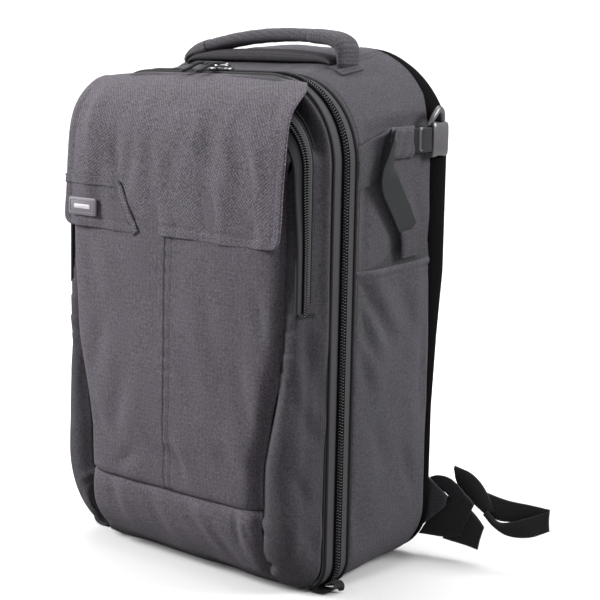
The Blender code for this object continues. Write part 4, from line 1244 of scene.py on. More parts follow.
def make_pocket_slider():
    """Small slider of the pocket zip, under the flap."""
    low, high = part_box("pocket_slider")
    middle = np.array((low + high) / 2)
    down = unit(np.array((0.0, -0.565, -0.825)))
    face = np.cross(np.array((1.0, 0.0, 0.0)), down)
    body = [middle + down * p for p in np.linspace(-0.0048, 0.0048, 7)]
    sizes = [round_profile(w, 0.0013, 12)
             for w in (0.0020, 0.0034, 0.0040, 0.0036, 0.0040, 0.0036, 0.0022)]
    side = np.tile((1.0, 0.0, 0.0), (7, 1))
    finish(loft("small_slider", body, side, np.tile(face, (7, 1)), sizes, SKIN["metal"]),
           "pocket_slider", "gunmetal",
           "pocket_slider")
    centre = middle + down * 0.0104
    loop = [centre + down * 0.0044 * math.cos(t) + np.array((0.0022 * math.sin(t), 0, 0))
            for t in full_turn(24)]
    finish(tube("small_pull", loop, 0.0008, SKIN["cord"], closed=True, up_hint=face),
           "pocket_slider", "black_webbing",
           "pocket_pull")


# ---- main compartment ----
def shell_part(y):
    return (np.asarray(y, float) - ZIP_PLANE) / (SHELL_REAR - ZIP_PLANE)


def shell_outline(y, inset=0.0, count=460):
    """Closed outline of the shell at a depth, from the middle of its base round by the right side."""
    part = shell_part(y)
    top = ZIP_TOP + (REAR_TOP - ZIP_TOP) * part - inset
    radius = ZIP_TOP_RADIUS + (REAR_TOP_RADIUS - ZIP_TOP_RADIUS) * part
    foot = FOOT_RADIUS + (REAR_FOOT_RADIUS - FOOT_RADIUS) * part
    line = outline(HALF_WIDTH - inset, inset, top, radius, foot - inset)
    return even(np.vstack([(0.0, inset), line, (0.0, inset)]), count + 1)[:-1]


def side_wave(y, z, seed):
    """Creases and sag of a side wall, in millimetre lines of y and z."""
    lift = 0.0008 * ripple(y, z, 0.08, seed, 0.7)
    lift += creases(y, z,
                    ((-38, 438, 62, 452, 11, 5.0), (-34, 300, -30, 392, 6, 3.4),
                     (10, 474, 60, 500, 9, 2.0),
                           (-38, 470, 20, 452, 8, 1.8), (40, 395, 66, 330, 8, 1.8),
                     (-10, 372, 20, 330, 8, 1.4)))
    lift += 0.0020 * np.exp(-(((y - 0.015) / 0.04) ** 2)) * np.exp(-(((z - 0.36) / 0.05) ** 2))
    return lift


def make_shell():
    """Fabric box of the main compartment: sides, rising top and base in one band."""
    depths = np.linspace(SHELL_FRONT, SHELL_REAR, 46)
    grid = np.stack([np.insert(shell_outline(y), 1, y, axis=1) for y in depths])
    x, y, z = grid[..., 0], grid[..., 1], grid[..., 2]
    front, rear = y - SHELL_FRONT, SHELL_REAR - y
    wall = ease((np.abs(x) - 0.150) / 0.012) * ease((z - 0.05) / 0.04)
    lift = tuck(front, 0.0018, 0.0030) + tuck(rear, 0.0020, 0.0030)
    lift += np.where(x > 0, side_wave(y, z, 61), side_wave(y, z, 67)) * wall * ease(front / 0.02)
    roof = ease((z - 0.47) / 0.02)
    lift += roof * (0.0010 * ripple(x, y, 0.07, 71) + tuck(np.abs(np.abs(x) - 0.100), 0.0011,
                                                           0.0012))
    lift += roof * creases(x, y,
                           ((110, -30, 128, 40, 7, 1.3), (-120, -20, -112, 50, 7, 1.2),
                            (60, -36, 76, -10, 6, 0.9)))
    lift += roof * 0.0058 * np.exp(-(((y - 0.060) / 0.021) ** 2)) * np.exp(-((x / 0.092) ** 4))
    grid = push(grid, lift, closed=True)
    finish(cloth("shell_fabric", grid, SKIN["oxford"], 0.0022, closed=True), "root",
           "oxford_fabric", "shell_wall")
    normal = normals_of(grid, closed=True)
    visible = slice(70, 390)
    for row in (2, 43):
        sew(grid[row, visible], normal[row, visible], "root")
    for side in (-1, 1):
        for gap in (-0.0028, 0.0028):
            away = np.abs(grid[..., 0] - side * 0.100 - gap)
            at = np.argmin(np.where(grid[..., 2] > 0.3, away, np.inf), axis=1)
            rows = np.arange(len(depths))
            sew(grid[rows, at], normal[rows, at], "root")


def make_liner():
    """Foam wall inside, wrapped in loop cloth, and the lining, stiffener and cushion plates at the rear."""
    depths = np.linspace(SHELL_FRONT + 0.0006, SHELL_REAR - 0.0165, 24)
    inset = 0.0035
    thick = np.interp(depths, (depths[0], depths[0] + 0.006), (0.0045, 0.0078))
    outer = np.stack([np.insert(shell_outline(y, inset, 300), 1, y, axis=1) for y in depths])
    inner = np.stack([np.insert(shell_outline(y, inset + t, 300), 1, y, axis=1)
                      for y, t in zip(depths, thick)])
    wave = 0.0004 * ripple(inner[..., 0], inner[..., 2], 0.05, 81)
    inner = inner + (INSIDE - inner) * wave[..., None]
    grid = np.concatenate([outer[::-1], inner])
    made = cloth("liner_wall", grid, SKIN["velour"], 0.0, closed=True)
    face_out(made.data)
    finish(made, "root", "divider_velour", "foam_liner")
    for node, name, skin, slot, gap in (
            ("shell_back", "back_lining", "lining", "lining_fabric", 0.0036),
            ("frame_sheet", "stiffener_sheet", "plastic", "frame_plastic", 0.0062),
            ("back_foam", "back_cushion", "velour", "divider_velour", 0.0062)):
        low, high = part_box(node)
        finish(back_plate(name, low.y, high.y, gap, SKIN[skin], 91), "root", slot, node)


def back_plate(name, y0, y1, inset, skin, seed):
    """Plate filling the rear outline, its edges rounded and its faces slightly uneven."""
    line = shell_outline(SHELL_REAR - 0.0145, inset, 200)
    centre = np.array((0.0, 0.25))
    rings = []
    size = abs(y1 - y0)
    for grow, y in ((0.02, y0), (0.5, y0), (0.85, y0), (0.985, y0), (1.0, y0 + size * 0.3),
                    (1.0, y1 - size * 0.3),
                    (0.985, y1), (0.85, y1), (0.5, y1), (0.02, y1)):
        ring = centre + (line - centre) * grow
        depth = y + (0.0004 * ripple(ring[:, 0], ring[:, 1], 0.09, seed)
                     if 0.1 < grow < 0.99 else 0.0)
        rings.append(np.stack([ring[:, 0], np.broadcast_to(depth, len(ring)), ring[:, 1]], axis=1))
    made = cloth(name, np.array(rings), skin, 0.0, closed=True)
    face_out(made.data, fill_ends=True)
    return made


# ---- padded goods by cloth simulation ----
def bake(obj):
    """Replace an object's mesh with what its modifiers make of it."""
    bpy.context.view_layer.update()
    depsgraph = bpy.context.evaluated_depsgraph_get()
    made = bpy.data.meshes.new_from_object(obj.evaluated_get(depsgraph))
    obj.modifiers.clear()
    obj.data = made
    return obj


def points_of(mesh):
    flat = np.empty(len(mesh.vertices) * 3, np.float32)
    mesh.vertices.foreach_get("co", flat)
    return flat.reshape(-1, 3).astype(float)


def set_points(mesh, points):
    mesh.vertices.foreach_set("co", np.asarray(points, np.float32).ravel())
    mesh.update()


def box_uv(obj):
    """Texture coordinates in metres, taken along the two axes that each face lies in."""
    mesh = obj.data
    layer = mesh.uv_layers.get("UVMap") or mesh.uv_layers.new(name="UVMap")
    points = points_of(mesh)
    for face in mesh.polygons:
        axis = int(np.argmax(np.abs(np.array(face.normal))))
        keep = [i for i in range(3) if i != axis]
        for corner in face.loop_indices:
            layer.data[corner].uv = points[mesh.loops[corner].vertex_index][keep]


def inflate(obj, cap, voxel=0.005, pressure=4.0):
    """Fill a closed form like stuffed cloth: pressure swells it, up to a cap on movement."""
    remesh = obj.modifiers.new("remesh", "REMESH")
    remesh.mode = "VOXEL"
    remesh.voxel_size = voxel
    bake(obj)
    rest = points_of(obj.data)
    simulate(obj, pressure)
    moved = points_of(obj.data) - rest
    moved -= moved.mean(axis=0)
    size = np.linalg.norm(moved, axis=1, keepdims=True)
    set_points(obj.data, rest + moved * np.minimum(1.0, cap / np.maximum(size, 1e-9)))
    obj.data.polygons.foreach_set("use_smooth", [True] * len(obj.data.polygons))
    return obj


def simulate(obj, pressure):
    cloth_modifier = obj.modifiers.new("stuffing", "CLOTH")
    settings = cloth_modifier.settings
    settings.quality = 4
    settings.mass = 0.3
    settings.tension_stiffness = 18.0
    settings.compression_stiffness = 18.0
    settings.bending_stiffness = 0.6
    settings.use_pressure = True
    settings.uniform_pressure_force = pressure
    settings.effector_weights.gravity = 0.0
    cloth_modifier.collision_settings.use_collision = False
    scene = bpy.context.scene
    for number in range(1, 21):
        scene.frame_set(number)
    bake(obj)
    scene.frame_set(1)


def smooth_more(obj, levels=1):
    subdivision = obj.modifiers.new("smooth", "SUBSURF")
    subdivision.levels = levels
    subdivision.render_levels = levels
    return obj


def soft_box(name, low, high, skin, cap, shrink=0.0012, voxel=0.006):
    """Padded wall or pad between two corners, swollen from a slightly smaller box."""
    low, high = np.array(low) + shrink, np.array(high) - shrink
    bm = bmesh.new()
    bmesh.ops.create_cube(bm, size=1.0)
    for vertex in bm.verts:
        vertex.co = [(l + h) / 2 + c * (h - l) for l, h, c in zip(low, high, vertex.co)]
    mesh = bpy.data.meshes.new(name)
    bm.to_mesh(mesh)
    bm.free()
    mesh.materials.append(skin)
    made = bpy.data.objects.new(name, mesh)
    bpy.context.scene.collection.objects.link(made)
    thin = min(h - l for l, h in zip(low, high))
    round_edges(made, thin * 0.42, 3)
    bake(made)
    inflate(made, cap, voxel)
    return made


def make_dividers():
    """Padded walls of the compartment, each with a piped front edge."""
    for node in ("divider_shelf", "divider_column_left", "divider_column_right",
                 "divider_side_left",
                 "divider_side_right"):
        low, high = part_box(node)
        made = soft_box("padded_" + node, low, high, SKIN["velour"], 0.0022)
        box_uv(made)
        smooth_more(made)
        finish(made, "root", "divider_velour", node)
        middle = (np.array(low) + np.array(high)) / 2
        upright = "column" in node
        y = low.y - 0.0002
        ends = [(low.x + 0.003, y, middle[2]), (high.x - 0.003, y, middle[2])]
        if upright:
            ends = [(middle[0], y, low.z + 0.003), (middle[0], y, high.z - 0.003)]
        ends = np.array(ends)
        line = curve_through([ends[0], ends[0] * 0.66 + ends[1] * 0.34, ends[1]], 30)
        _, side, up = frames_along(line, (0, -1, 0))
        profile = round_profile(0.0042, 0.0015, 14)
        finish(loft("edge_" + node, line, side, up, profile, SKIN["binding"]), "root",
               "black_webbing")


def make_back():
    """Harness side: stiff padded panel, a ribbed air-mesh pad, the strap yoke and the bound edge."""
    low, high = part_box("back_panel")
    panel = back_plate("rear_panel", low.y, high.y + 0.0010, 0.0085, SKIN["binding"], 95)
    finish(panel, "root", "oxford_fabric", "back_panel")
    low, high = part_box("back_pad")
    pad = soft_box("rear_pad", low, high, SKIN["mesh"], 0.0030, 0.0008, 0.005)
    points = points_of(pad.data)
    x, z = points[:, 0], points[:, 2]
    outer = ease((points[:, 1] - (low.y + 0.003)) / 0.004)
    channel = tuck(np.abs(x), 0.0050, 0.010)
    for height in (0.302, 0.362, 0.422):
        channel += tuck(np.abs(z - height - 0.012 * np.cos(x * 18)), 0.0034, 0.0050)
    points[:, 1] += outer * (channel + 0.0020)
    corner = 0.045
    past_x = np.maximum(np.abs(x) - (high.x - corner), 0)
    past_z = np.maximum(np.maximum((low.z + corner) - z, z - (high.z - corner)), 0)
    over = np.maximum(np.hypot(past_x, past_z) / corner, 1.0)
    points[:, 0] = np.sign(x) * (np.abs(x) - past_x + past_x / over)
    lower = z < (low.z + high.z) / 2
    points[:, 2] = np.where(lower, z + past_z - past_z / over, z - past_z + past_z / over)
    set_points(pad.data, points)
    box_uv(pad)
    smooth_more(pad)
    finish(pad, "root", "air_mesh", "back_pad")
    rim = rounded_path(low.x + 0.001, high.x - 0.001, low.z + 0.001, high.z - 0.001, corner, 12)
    path = np.array([(px, low.y + 0.0012, pz) for px, pz in rim])
    finish(tube("rear_pad_piping", even(np.vstack([path, path[:1]]), 241)[:-1], 0.0018,
                SKIN["binding"], closed=True,
                up_hint=(0, 1, 0)), "root", "black_webbing")
    make_yoke()
    line = shell_outline(SHELL_REAR, 0.0040, 420)
    path = np.insert(line, 1, SHELL_REAR + 0.0042, axis=1)
    _, side, up = frames_along(path, (0, 1, 0), closed=True)
    levels = (0.160, 0.235, 0.300, 0.462, 0.505)
    out = np.interp(path[:, 2], levels, (0.0036, 0.0062, 0.0090, 0.0090, 0.0052))
    deep = np.interp(path[:, 2], levels, (0.0052, 0.0090, 0.0150, 0.0150, 0.0085))
    bulge = [round_profile(a, b, 18) for a, b in zip(out, deep)]
    bound = loft("rear_edge_binding", path, side, up, bulge, SKIN["bolster"], closed=True)
    finish(bound, "root", "black_webbing", "rear_binding")
    inner = np.insert(shell_outline(SHELL_REAR, 0.0080, 420), 1, SHELL_REAR + 0.0080, axis=1)
    sew(inner[40:380], (0, 1, 0), "root")


def make_yoke():
    """Reinforced panel that both shoulder straps are sewn to, box-stitched."""
    low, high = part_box("strap_yoke")
    v, u = np.meshgrid(np.linspace(0, 1, 30), np.linspace(0, 1, 70), indexing="ij")
    x = low.x + (high.x - low.x) * u
    z = high.z + (low.z - high.z) * v
    rim = np.minimum(np.minimum(u, 1 - u) * (high.x - low.x),
                     np.minimum(v, 1 - v) * (high.z - low.z))
    y = high.y - 0.0036 * np.exp(-((rim / 0.0030) ** 2)) + 0.0004 * ripple(x, z, 0.03, 97)
    grid = np.stack([x, y, z], axis=2)
    finish(cloth("yoke", grid, SKIN["oxford"], 0.0020), "root", "oxford_fabric", "strap_yoke")
    normal = normals_of(grid)
    for row in (3, 26):
        sew(grid[row, 3:-3], normal[row, 3:-3], "root")
    for column in (3, 22, 47, 66):
        sew(grid[3:-3, column], normal[3:-3, column], "root")
    for a, b in ((3, 22), (47, 66)):
        count = 20
        rows = np.linspace(3, 26, count).astype(int)
        for start, end in ((a, b), (b, a)):
            columns = np.linspace(start, end, count).astype(int)
            sew(grid[rows, columns], normal[rows, columns], "root")


def make_straps():
    """Shoulder straps: curved padded bands with bound edges, narrowing to the adjuster."""
    for name, sign in (("left", -1), ("right", 1)):
        spine = [(0.044, 0.1090, 0.4480), (0.0500, 0.1140, 0.4340), (0.0560, 0.1210, 0.4000),
                 (0.0660, 0.1250, 0.3400),
                 (0.0760, 0.1240, 0.2700), (0.0845, 0.1185, 0.2130)]
        path = curve_through(np.array(spine) * (sign, 1, 1), 60)
        part = np.linspace(0, 1, 60)
        width = np.interp(part, (0, 0.12, 0.75, 1.0), (0.050, 0.062, 0.058, 0.034))
        thick = np.interp(part, (0, 0.10, 0.9, 1.0), (0.0050, 0.0115, 0.0100, 0.0050))
        _, side, up = frames_along(path, (0, 1, 0))
        sizes = [squared_ring(w / 2, h / 2, 0.45, 0.8, 32)
                 for w, h in zip(width - 0.004, thick - 0.0015)]
        band = loft(f"strap_{name}", path, side, up, sizes, SKIN["mesh"])
        inflate(band, 0.0016, 0.005)
        box_uv(band)
        smooth_more(band)
        finish_blend(band, ("root", f"strap_{name}"), (0, 0.110, 0.452), (0, 0.114, 0.434),
                     "air_mesh",
                     f"shoulder_strap_{name}")
        for edge, way in (("inner", -1), ("outer", 1)):
            line = path + side * (way * (width / 2 - 0.0012))[:, None]
            piece = tube(f"strap_{name}_{edge}_edge", line, 0.0026, SKIN["binding"], sides=8,
                         up_hint=(0, 1, 0))
            finish_blend(piece, ("root", f"strap_{name}"), (0, 0.110, 0.452), (0, 0.114, 0.434),
                         "black_webbing")
        tongue = [(0.0845, 0.1165, 0.222), (0.0862, 0.1165, 0.208), (0.0866, 0.1165, 0.1990)]
        piece = webbing(f"strap_{name}_tongue", np.array(tongue) * (sign, 1, 1),
                        [(1, 0, 0.1 * sign)] * 3,
                        SKIN["webbing"], 0.024, 0.0016, 14)
        finish(piece, f"strap_{name}", "black_webbing")
        low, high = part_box(f"ladder_lock_{name}")
        make_ladder_lock(name, low, high)


def make_ladder_lock(name, low, high):
    """Three-bar adjuster: one rounded frame with two cross bars."""
    y = (low.y + high.y) / 2
    ring = rounded_path(low.x + 0.0022, high.x - 0.0022, low.z + 0.0022, high.z - 0.0022, 0.0035, 6)
    path = np.array([(x, y, z) for x, z in ring])
    _, side, up = frames_along(path, (0, 1, 0), closed=True)
    rim = loft(f"adjuster_{name}", path, side, up, round_profile(0.0022, 0.0026, 12), SKIN["gloss"],
               closed=True)
    finish(rim, f"lock_{name}", "acetal_plastic", f"ladder_lock_{name}")
    for number, part in enumerate((0.36, 0.68)):
        z = low.z + (high.z - low.z) * part
        bar = np.array([(x, y + 0.0006 * math.sin(x * 300), z)
                        for x in np.linspace(low.x + 0.0015, high.x - 0.0015, 9)])
        finish(tube(f"adjuster_{name}_bar_{number}", bar, 0.0017, SKIN["gloss"], sides=10,
                    up_hint=(0, 1, 0)),
               f"lock_{name}", "acetal_plastic")


# ---- top ----
def roof_z(x, y):
    """Height of the shell's top at a point, falling away round its upper corners."""
    part = shell_part(y)
    top = ZIP_TOP + (REAR_TOP - ZIP_TOP) * part
    radius = ZIP_TOP_RADIUS + (REAR_TOP_RADIUS - ZIP_TOP_RADIUS) * part
    out = np.clip(np.abs(x) - (HALF_WIDTH - radius), 0, radius)
    return top - radius + np.sqrt(radius**2 - out**2)


def rounded_sleeve(width, thick, square=0.6):
    return squared_ring(width / 2, thick / 2, square, 0.85, 40)


def make_handle():
    """Grip sleeve bowed over the top, wrapped at both ends, and the flat band beneath, whose dark cloth also
    paints the grip's shadow on the top.
    """
    low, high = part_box("handle_grip")
    middle_y = (low.y + high.y) / 2
    spine = [(-0.1035, 0.5035), (-0.1025, 0.5095), (-0.0960, 0.5145), (-0.0850, 0.5185),
             (-0.0600, 0.5245),
             (-0.0300, 0.5295), (0.0, 0.5325), (0.0280, 0.5338), (0.0540, 0.5336), (0.0780, 0.5322),
             (0.0950, 0.5300),
             (0.1065, 0.5240), (0.1095, 0.5140), (0.1100, 0.5030)]
    path = curve_through([(x, middle_y, z) for x, z in spine], 120)
    part = np.linspace(-1, 1, 120)
    width = np.interp(np.abs(part), (0, 0.72, 0.88, 1.0), (0.0335, 0.0325, 0.0300, 0.0290))
    thick = np.interp(np.abs(part), (0, 0.80, 0.92, 1.0), (0.0140, 0.0125, 0.0075, 0.0055))
    up = unit(np.cross((0.0, -1.0, 0.0), np.gradient(path, axis=0)))
    side = np.tile((0.0, 1.0, 0.0), (len(path), 1))
    wave = 1 + 0.02 * np.sin(np.arange(120) * 0.55) + 0.015 * np.sin(np.arange(120) * 1.3 + 1)
    sizes = [rounded_sleeve(w, h * a) for w, h, a in zip(width, thick, wave)]
    grip = loft("grip_sleeve", path, side, up, sizes, SKIN["grip"])
    bend = ((0, middle_y, 0.5100), (0, middle_y, 0.5230))
    finish_blend(grip, ("root", "handle"), *bend, "ballistic_nylon", "handle_grip")
    for name, cut in (("left", slice(1, 20)), ("right", slice(90, 119))):
        sleeve = [rounded_sleeve(w + 0.0016, h + 0.0018) for w, h in zip(width[cut], thick[cut])]
        wrap = loft(f"grip_wrap_{name}", path[cut], side[cut], up[cut], sleeve, SKIN["wrap"])
        finish_blend(wrap, ("root", "handle"), *bend, "ballistic_nylon")
    for way in (-1, 1):
        seam = path[22:88] + side[22:88] * (way * 0.0125) + up[22:88] * 0.0046
        sew(seam, up[22:88], "handle")
    for name, sign in (("right", 1), ("left", -1)):
        make_handle_end(name, sign, middle_y)
    # Dark arched band under the grip: partly a flat strap, partly painted shadow of the grip on the top, so its
    # cloth is darker than the grip's.
    x = np.linspace(-0.1000, 0.1000, 60)
    arch = 0.0105 * np.sqrt(np.clip(1 - (x / 0.1002) ** 2, 0, 1))
    path = np.stack([x, np.full(60, middle_y), roof_z(x, middle_y) + 0.0010 + 0.55 * arch], axis=1)
    band = loft("handle_band", path, np.tile((0.0, 1.0, 0.0), (60, 1)),
                np.tile((0.0, 0.0, 1.0), (60, 1)),
                [rounded_sleeve(0.0290, 0.0022 + h, square=0.35) for h in arch], SKIN["under"])
    finish(band, "root", "black_webbing", "handle_base_band")


def make_handle_end(name, sign, middle_y):
    """Folded patch that holds the end of the grip to the top."""
    x = np.linspace(0.0990, 0.1175, 18)
    y = middle_y + np.linspace(-0.0160, 0.0160, 18)
    grid = np.zeros((18, 18, 3))
    for i, depth in enumerate(y):
        rim = np.minimum(np.minimum(x - x[0], x[-1] - x), 0.0160 - abs(depth - middle_y))
        lift = 0.0016 + 0.0020 * ease(rim / 0.004)
        grid[i] = np.stack([sign * x, np.full(18, depth), roof_z(x, depth) + lift], axis=1)
    finish(cloth(f"grip_anchor_{name}", grid, SKIN["oxford"], 0.0022), "root", "ballistic_nylon")
    normal = normals_of(grid)
    for row in (2, 15):
        sew(grid[row, 2:-2], normal[row, 2:-2], "root")
    for column in (2, 15):
        sew(grid[2:-2, column], normal[2:-2, column], "root")


# ---- sides ----
def make_side_pocket(name, sign):
    """Open-topped pocket: bound hem, puffed body and creases that run down from its front corner; a sheet of
    darker lining cloth there stands for the inner fold and paints the shade inside it.
    """
    columns = np.linspace(-0.0395, 0.0765, 56)
    rows = np.linspace(0, 1, 118)
    grid = np.zeros((118, 56, 3))
    for j, y in enumerate(columns):
        hem = 0.3105 + (0.3175 - 0.3105) * (y - columns[0]) / (columns[-1] - columns[0])
        z = 0.0055 + (hem - 0.0055) * rows
        foot = FOOT_RADIUS + (REAR_FOOT_RADIUS - FOOT_RADIUS) * float(shell_part(y))
        base = HALF_WIDTH - foot + np.sqrt(np.maximum(foot**2 - np.maximum(foot - z, 0) ** 2, 0))
        grid[:, j] = np.stack([base + 0.0010, np.full(118, y), z], axis=1)
    y, z = grid[..., 1], grid[..., 2]
    side = np.minimum(y - columns[0], columns[-1] - y)
    top = grid[-1:, :, 2] - z
    puff = 0.0046 * ease(side / 0.030) * ease(z / 0.08) * (0.55 + 0.45 * ease(z / 0.28))
    puff += 0.0009 * ripple(y, z, 0.07, 101 + sign) * ease(side / 0.01)
    puff += creases(y, z,
                    ((-36, 300, 10, 240, 8, 4.6), (-38, 276, -8, 214, 7, 3.6),
                     (-34, 240, -14, 180, 7, 2.6),
                           (20, 296, 52, 240, 9, 2.0), (62, 250, 68, 150, 8, 2.2),
                     (-20, 170, 10, 110, 10, 2.2),
                           (30, 130, 60, 70, 9, 2.2)))
    puff += tuck(side, 0.0016,
                 0.0025) + 0.0009 * (top < 0.0065) + tuck(np.abs(top - 0.0072), 0.0007, 0.0009)
    puff += tuck(top, 0.0008, 0.0012)
    grid = push(grid, puff) * (sign, 1, 1)
    finish(cloth(f"pocket_{name}", grid, SKIN["oxford"], 0.0016), "root", "oxford_fabric",
           f"side_pocket_{name}")
    hem_row = int(np.argmin(np.abs(top[:, 20] - 0.0072)))
    sew_grid(grid, "root", row=hem_row)
    sew_grid(grid, "root", row=hem_row - 2)
    # Inner fold at the front corner, just inside the hem: darker lining cloth, its dark colour painted shade
    # inside the pocket's corner.
    a, b = np.array((-0.034, 0.3080)), np.array((0.0765, 0.3100))
    apex, back = np.array((0.033, 0.3370)), np.array((0.0765, 0.3300))
    along = np.linspace(0, 1, 30)[:, None]
    tri = []
    for v in np.linspace(0, 1, 16):
        upper = np.where(along < 0.6, a + (apex - a) * (along / 0.6),
                         apex + (back - apex) * ((along - 0.6) / 0.4))
        lower = a + (b - a) * along
        line = lower + (upper - lower) * v
        tri.append([(sign * (HALF_WIDTH + 0.0024 - 0.0012 * v + 0.0010 * math.sin(p[0] * 60)), p[0],
                     p[1]) for p in line])
    finish(cloth(f"pocket_gusset_painted_shade_{name}", np.array(tri), SKIN["lining"], 0.0010), "root",
           "oxford_fabric")


def make_compression_wing(name, sign):
    """Cloth wing from the front seam, gathered into a folded keeper that holds the buckle's webbing."""
    u = np.linspace(0, 1, 46)
    v = np.linspace(0, 1, 26)
    grid = np.zeros((26, 46, 3))
    y = SHELL_FRONT - 0.0005 + (0.0080 - SHELL_FRONT) * u
    top = np.interp(u, (0, 0.45, 1), (0.4290, 0.4380, 0.4460))
    low = np.interp(u, (0, 0.35, 0.7, 1), (0.3880, 0.3925, 0.4040, 0.4170))
    for i, part in enumerate(v):
        z = top + (low - top) * part
        fold = 0.0050 * np.sin(np.pi * np.clip(part, 0, 1)) * (0.4 + 0.6 * u)
        pinch = -0.0075 * np.exp(-(((u - 0.78 - 0.20 * (0.5 - part))
                                    / 0.14) ** 2)) * math.sin(math.pi * part)
        stand = 0.0014 + 0.0022 * u
        grid[i] = np.stack([HALF_WIDTH + stand + fold + pinch, y, z], axis=1)
    grid *= (sign, 1, 1)
    finish(cloth(f"side_wing_{name}", grid, SKIN["oxford"], 0.0016), "root", "oxford_fabric",
           f"compression_wing_{name}")
    sew_grid(grid, "root", row=2, cut=slice(3, 40))
    sew_grid(grid, "root", row=23, cut=slice(3, 40))
    sew_grid(grid, "root", column=2)
    keeper = np.zeros((22, 20, 3))
    for i, part in enumerate(np.linspace(0, 1, 22)):
        across = np.linspace(0.0030, 0.0420, 20)
        z = 0.4475 + (0.4165 - 0.4475) * part + (across - 0.022) * 0.04
        rim = min(part, 1 - part)
        x = HALF_WIDTH + 0.0060 - 0.0026 * math.exp(-(rim
                                                      / 0.08) ** 2) - 0.0022 * ease((across - 0.036) / 0.006)
        x += 0.0005 * np.sin(across * 420 + part * 5)
        keeper[i] = np.stack([x, across, z], axis=1)
    keeper *= (sign, 1, 1)
    finish(cloth(f"keeper_{name}", keeper, SKIN["oxford"], 0.0022), "root", "oxford_fabric")
    for column in (2, 17):
        sew_grid(keeper, "root", column=column, cut=slice(2, 20))
    inner = [(HALF_WIDTH + 0.0040, 0.036, 0.4335), (HALF_WIDTH + 0.0086, 0.046, 0.4340),
             (HALF_WIDTH + 0.0100, 0.058, 0.4345)]
    web = webbing(f"keeper_web_{name}", np.array(inner) * (sign, 1, 1), [(0, -0.05, 1)] * 3,
                  SKIN["webbing"], 0.0245,
                  0.0016, 14)
    finish(web, f"buckle_{name}", "black_webbing")


def make_buckle(name, sign):
    """Side-release buckle: waisted socket with side windows, and a plug whose prongs show in them."""
    low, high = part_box(f"buckle_socket_{name}")
    z = (low.z + high.z) / 2 + 0.0025
    x = (abs(low.x) + abs(high.x)) / 2
    tall = (high.z - low.z) / 2 + 0.0015
    deep = (high.x - low.x) / 2
    stations = ((0.0, 0.94, 0.92), (0.03, 1.0, 1.0), (0.20, 0.98, 1.0), (0.42, 0.90, 0.96),
                (0.62, 0.92, 0.90),
                (0.85, 0.96, 0.74), (0.97, 0.90, 0.52), (1.0, 0.80, 0.38))
    length = high.y - low.y
    path = [(sign * x, low.y + length * s, z) for s, _, _ in stations]
    rings = [squared_ring(tall * a, deep * b, 0.5, 0.5, 28) for _, a, b in stations]
    count = len(stations)
    socket = loft(f"buckle_{name}_socket", path, np.tile((0.0, 0.0, 1.0), (count, 1)),
                  np.tile((float(sign), 0.0, 0.0), (count, 1)), rings, SKIN["gloss"])
    cut_box(socket, (sign * x, low.y + 0.008, z), (deep * 1.1, 0.022, tall * 1.50))
    for way in (-1, 1):
        cut_box(socket, (sign * x, low.y + length * 0.42, z + way * tall * 0.98),
                (deep * 0.9, length * 0.30, tall * 0.42))
    bake(socket)
    socket.data.polygons.foreach_set("use_smooth", [True] * len(socket.data.polygons))
    socket.data.set_sharp_from_angle(angle=math.radians(38))
    finish(round_edges(socket, 0.0004, 2, 38), "root", "acetal_plastic", f"buckle_socket_{name}")
    horn = np.array([(x + 0.0010, 0.0545, z + 0.0135), (x + 0.0018, 0.0590, z + 0.0185),
                     (x + 0.0018, 0.0650, z + 0.0245),
                     (x + 0.0010, 0.0715, z + 0.0292), (x, 0.0780, z + 0.0262),
                     (x - 0.0008, 0.0815, z + 0.0175)])
    line = curve_through(horn * (sign, 1, 1), 34)
    _, side, up = frames_along(line, (sign, 0, 0))
    grow = np.interp(np.linspace(0, 1, 34), (0, 0.25, 0.7, 1), (0.25, 0.8, 1.0, 0.7))
    sizes = [round_profile(0.0040 * g, 0.0030 * g, 14) for g in grow]
    finish(loft(f"buckle_{name}_arm", line, side, up, sizes, SKIN["gloss"]), "root",
           "acetal_plastic")
    low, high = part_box(f"buckle_plug_{name}")
    px, half = (abs(low.x) + abs(high.x)) / 2, (high.z - low.z) / 2
    ring = rounded_path(low.y + 0.0018, low.y + 0.0125, z - half + 0.0018, z + half - 0.0018,
                        0.0022, 5)
    loop = np.array([(sign * px, a, b) for a, b in ring])
    _, side, up = frames_along(loop, (sign, 0, 0), closed=True)
    base = loft(f"buckle_{name}_plug", loop, side, up, round_profile(0.0018, 0.0024, 10),
                SKIN["gloss"], closed=True)
    finish(base, f"buckle_{name}", "acetal_plastic", f"buckle_plug_{name}")
    for word, way in (("upper", 1), ("lower", -1)):
        prong = [(sign * px, low.y + 0.0120, z + way * (half - 0.0040)),
                 (sign * px, 0.0610, z + way * (half - 0.0036)),
                 (sign * px, 0.0680, z + way * (half - 0.0008)),
                 (sign * px, 0.0740, z + way * (half - 0.0012)),
                 (sign * px, 0.0800, z + way * (half - 0.0060))]
        line = curve_through(prong, 26)
        _, side, up = frames_along(line, (sign, 0, 0))
        grow = np.interp(np.linspace(0, 1, 26), (0, 0.5, 0.8, 1), (0.8, 1.0, 1.15, 0.5))
        sizes = [round_profile(0.0021 * g, 0.0023 * g, 10) for g in grow]
        finish(loft(f"buckle_{name}_{word}_prong", line, side, up, sizes, SKIN["gloss"]),
               f"buckle_{name}",
               "acetal_plastic")
    tongue = [(sign * px, low.y + 0.010 + 0.030 * p, z) for p in np.linspace(0, 1, 6)]
    _, side, up = frames_along(tongue, (sign, 0, 0))
    finish(loft(f"buckle_{name}_tongue", tongue, side, up, round_profile(0.0030, 0.0013, 12),
                SKIN["gloss"]),
           f"buckle_{name}", "acetal_plastic")


def cut_box(obj, middle, size):
    bpy.ops.mesh.primitive_cube_add(size=1.0, location=middle)
    cutter = bpy.context.object
    cutter.scale = size
    bpy.context.view_layer.update()
    cut = obj.modifiers.new("window", "BOOLEAN")
    cut.operation = "DIFFERENCE"
    cut.solver = "EXACT"
    cut.object = cutter
    bake(obj)
    bpy.data.objects.remove(cutter, do_unlink=True)


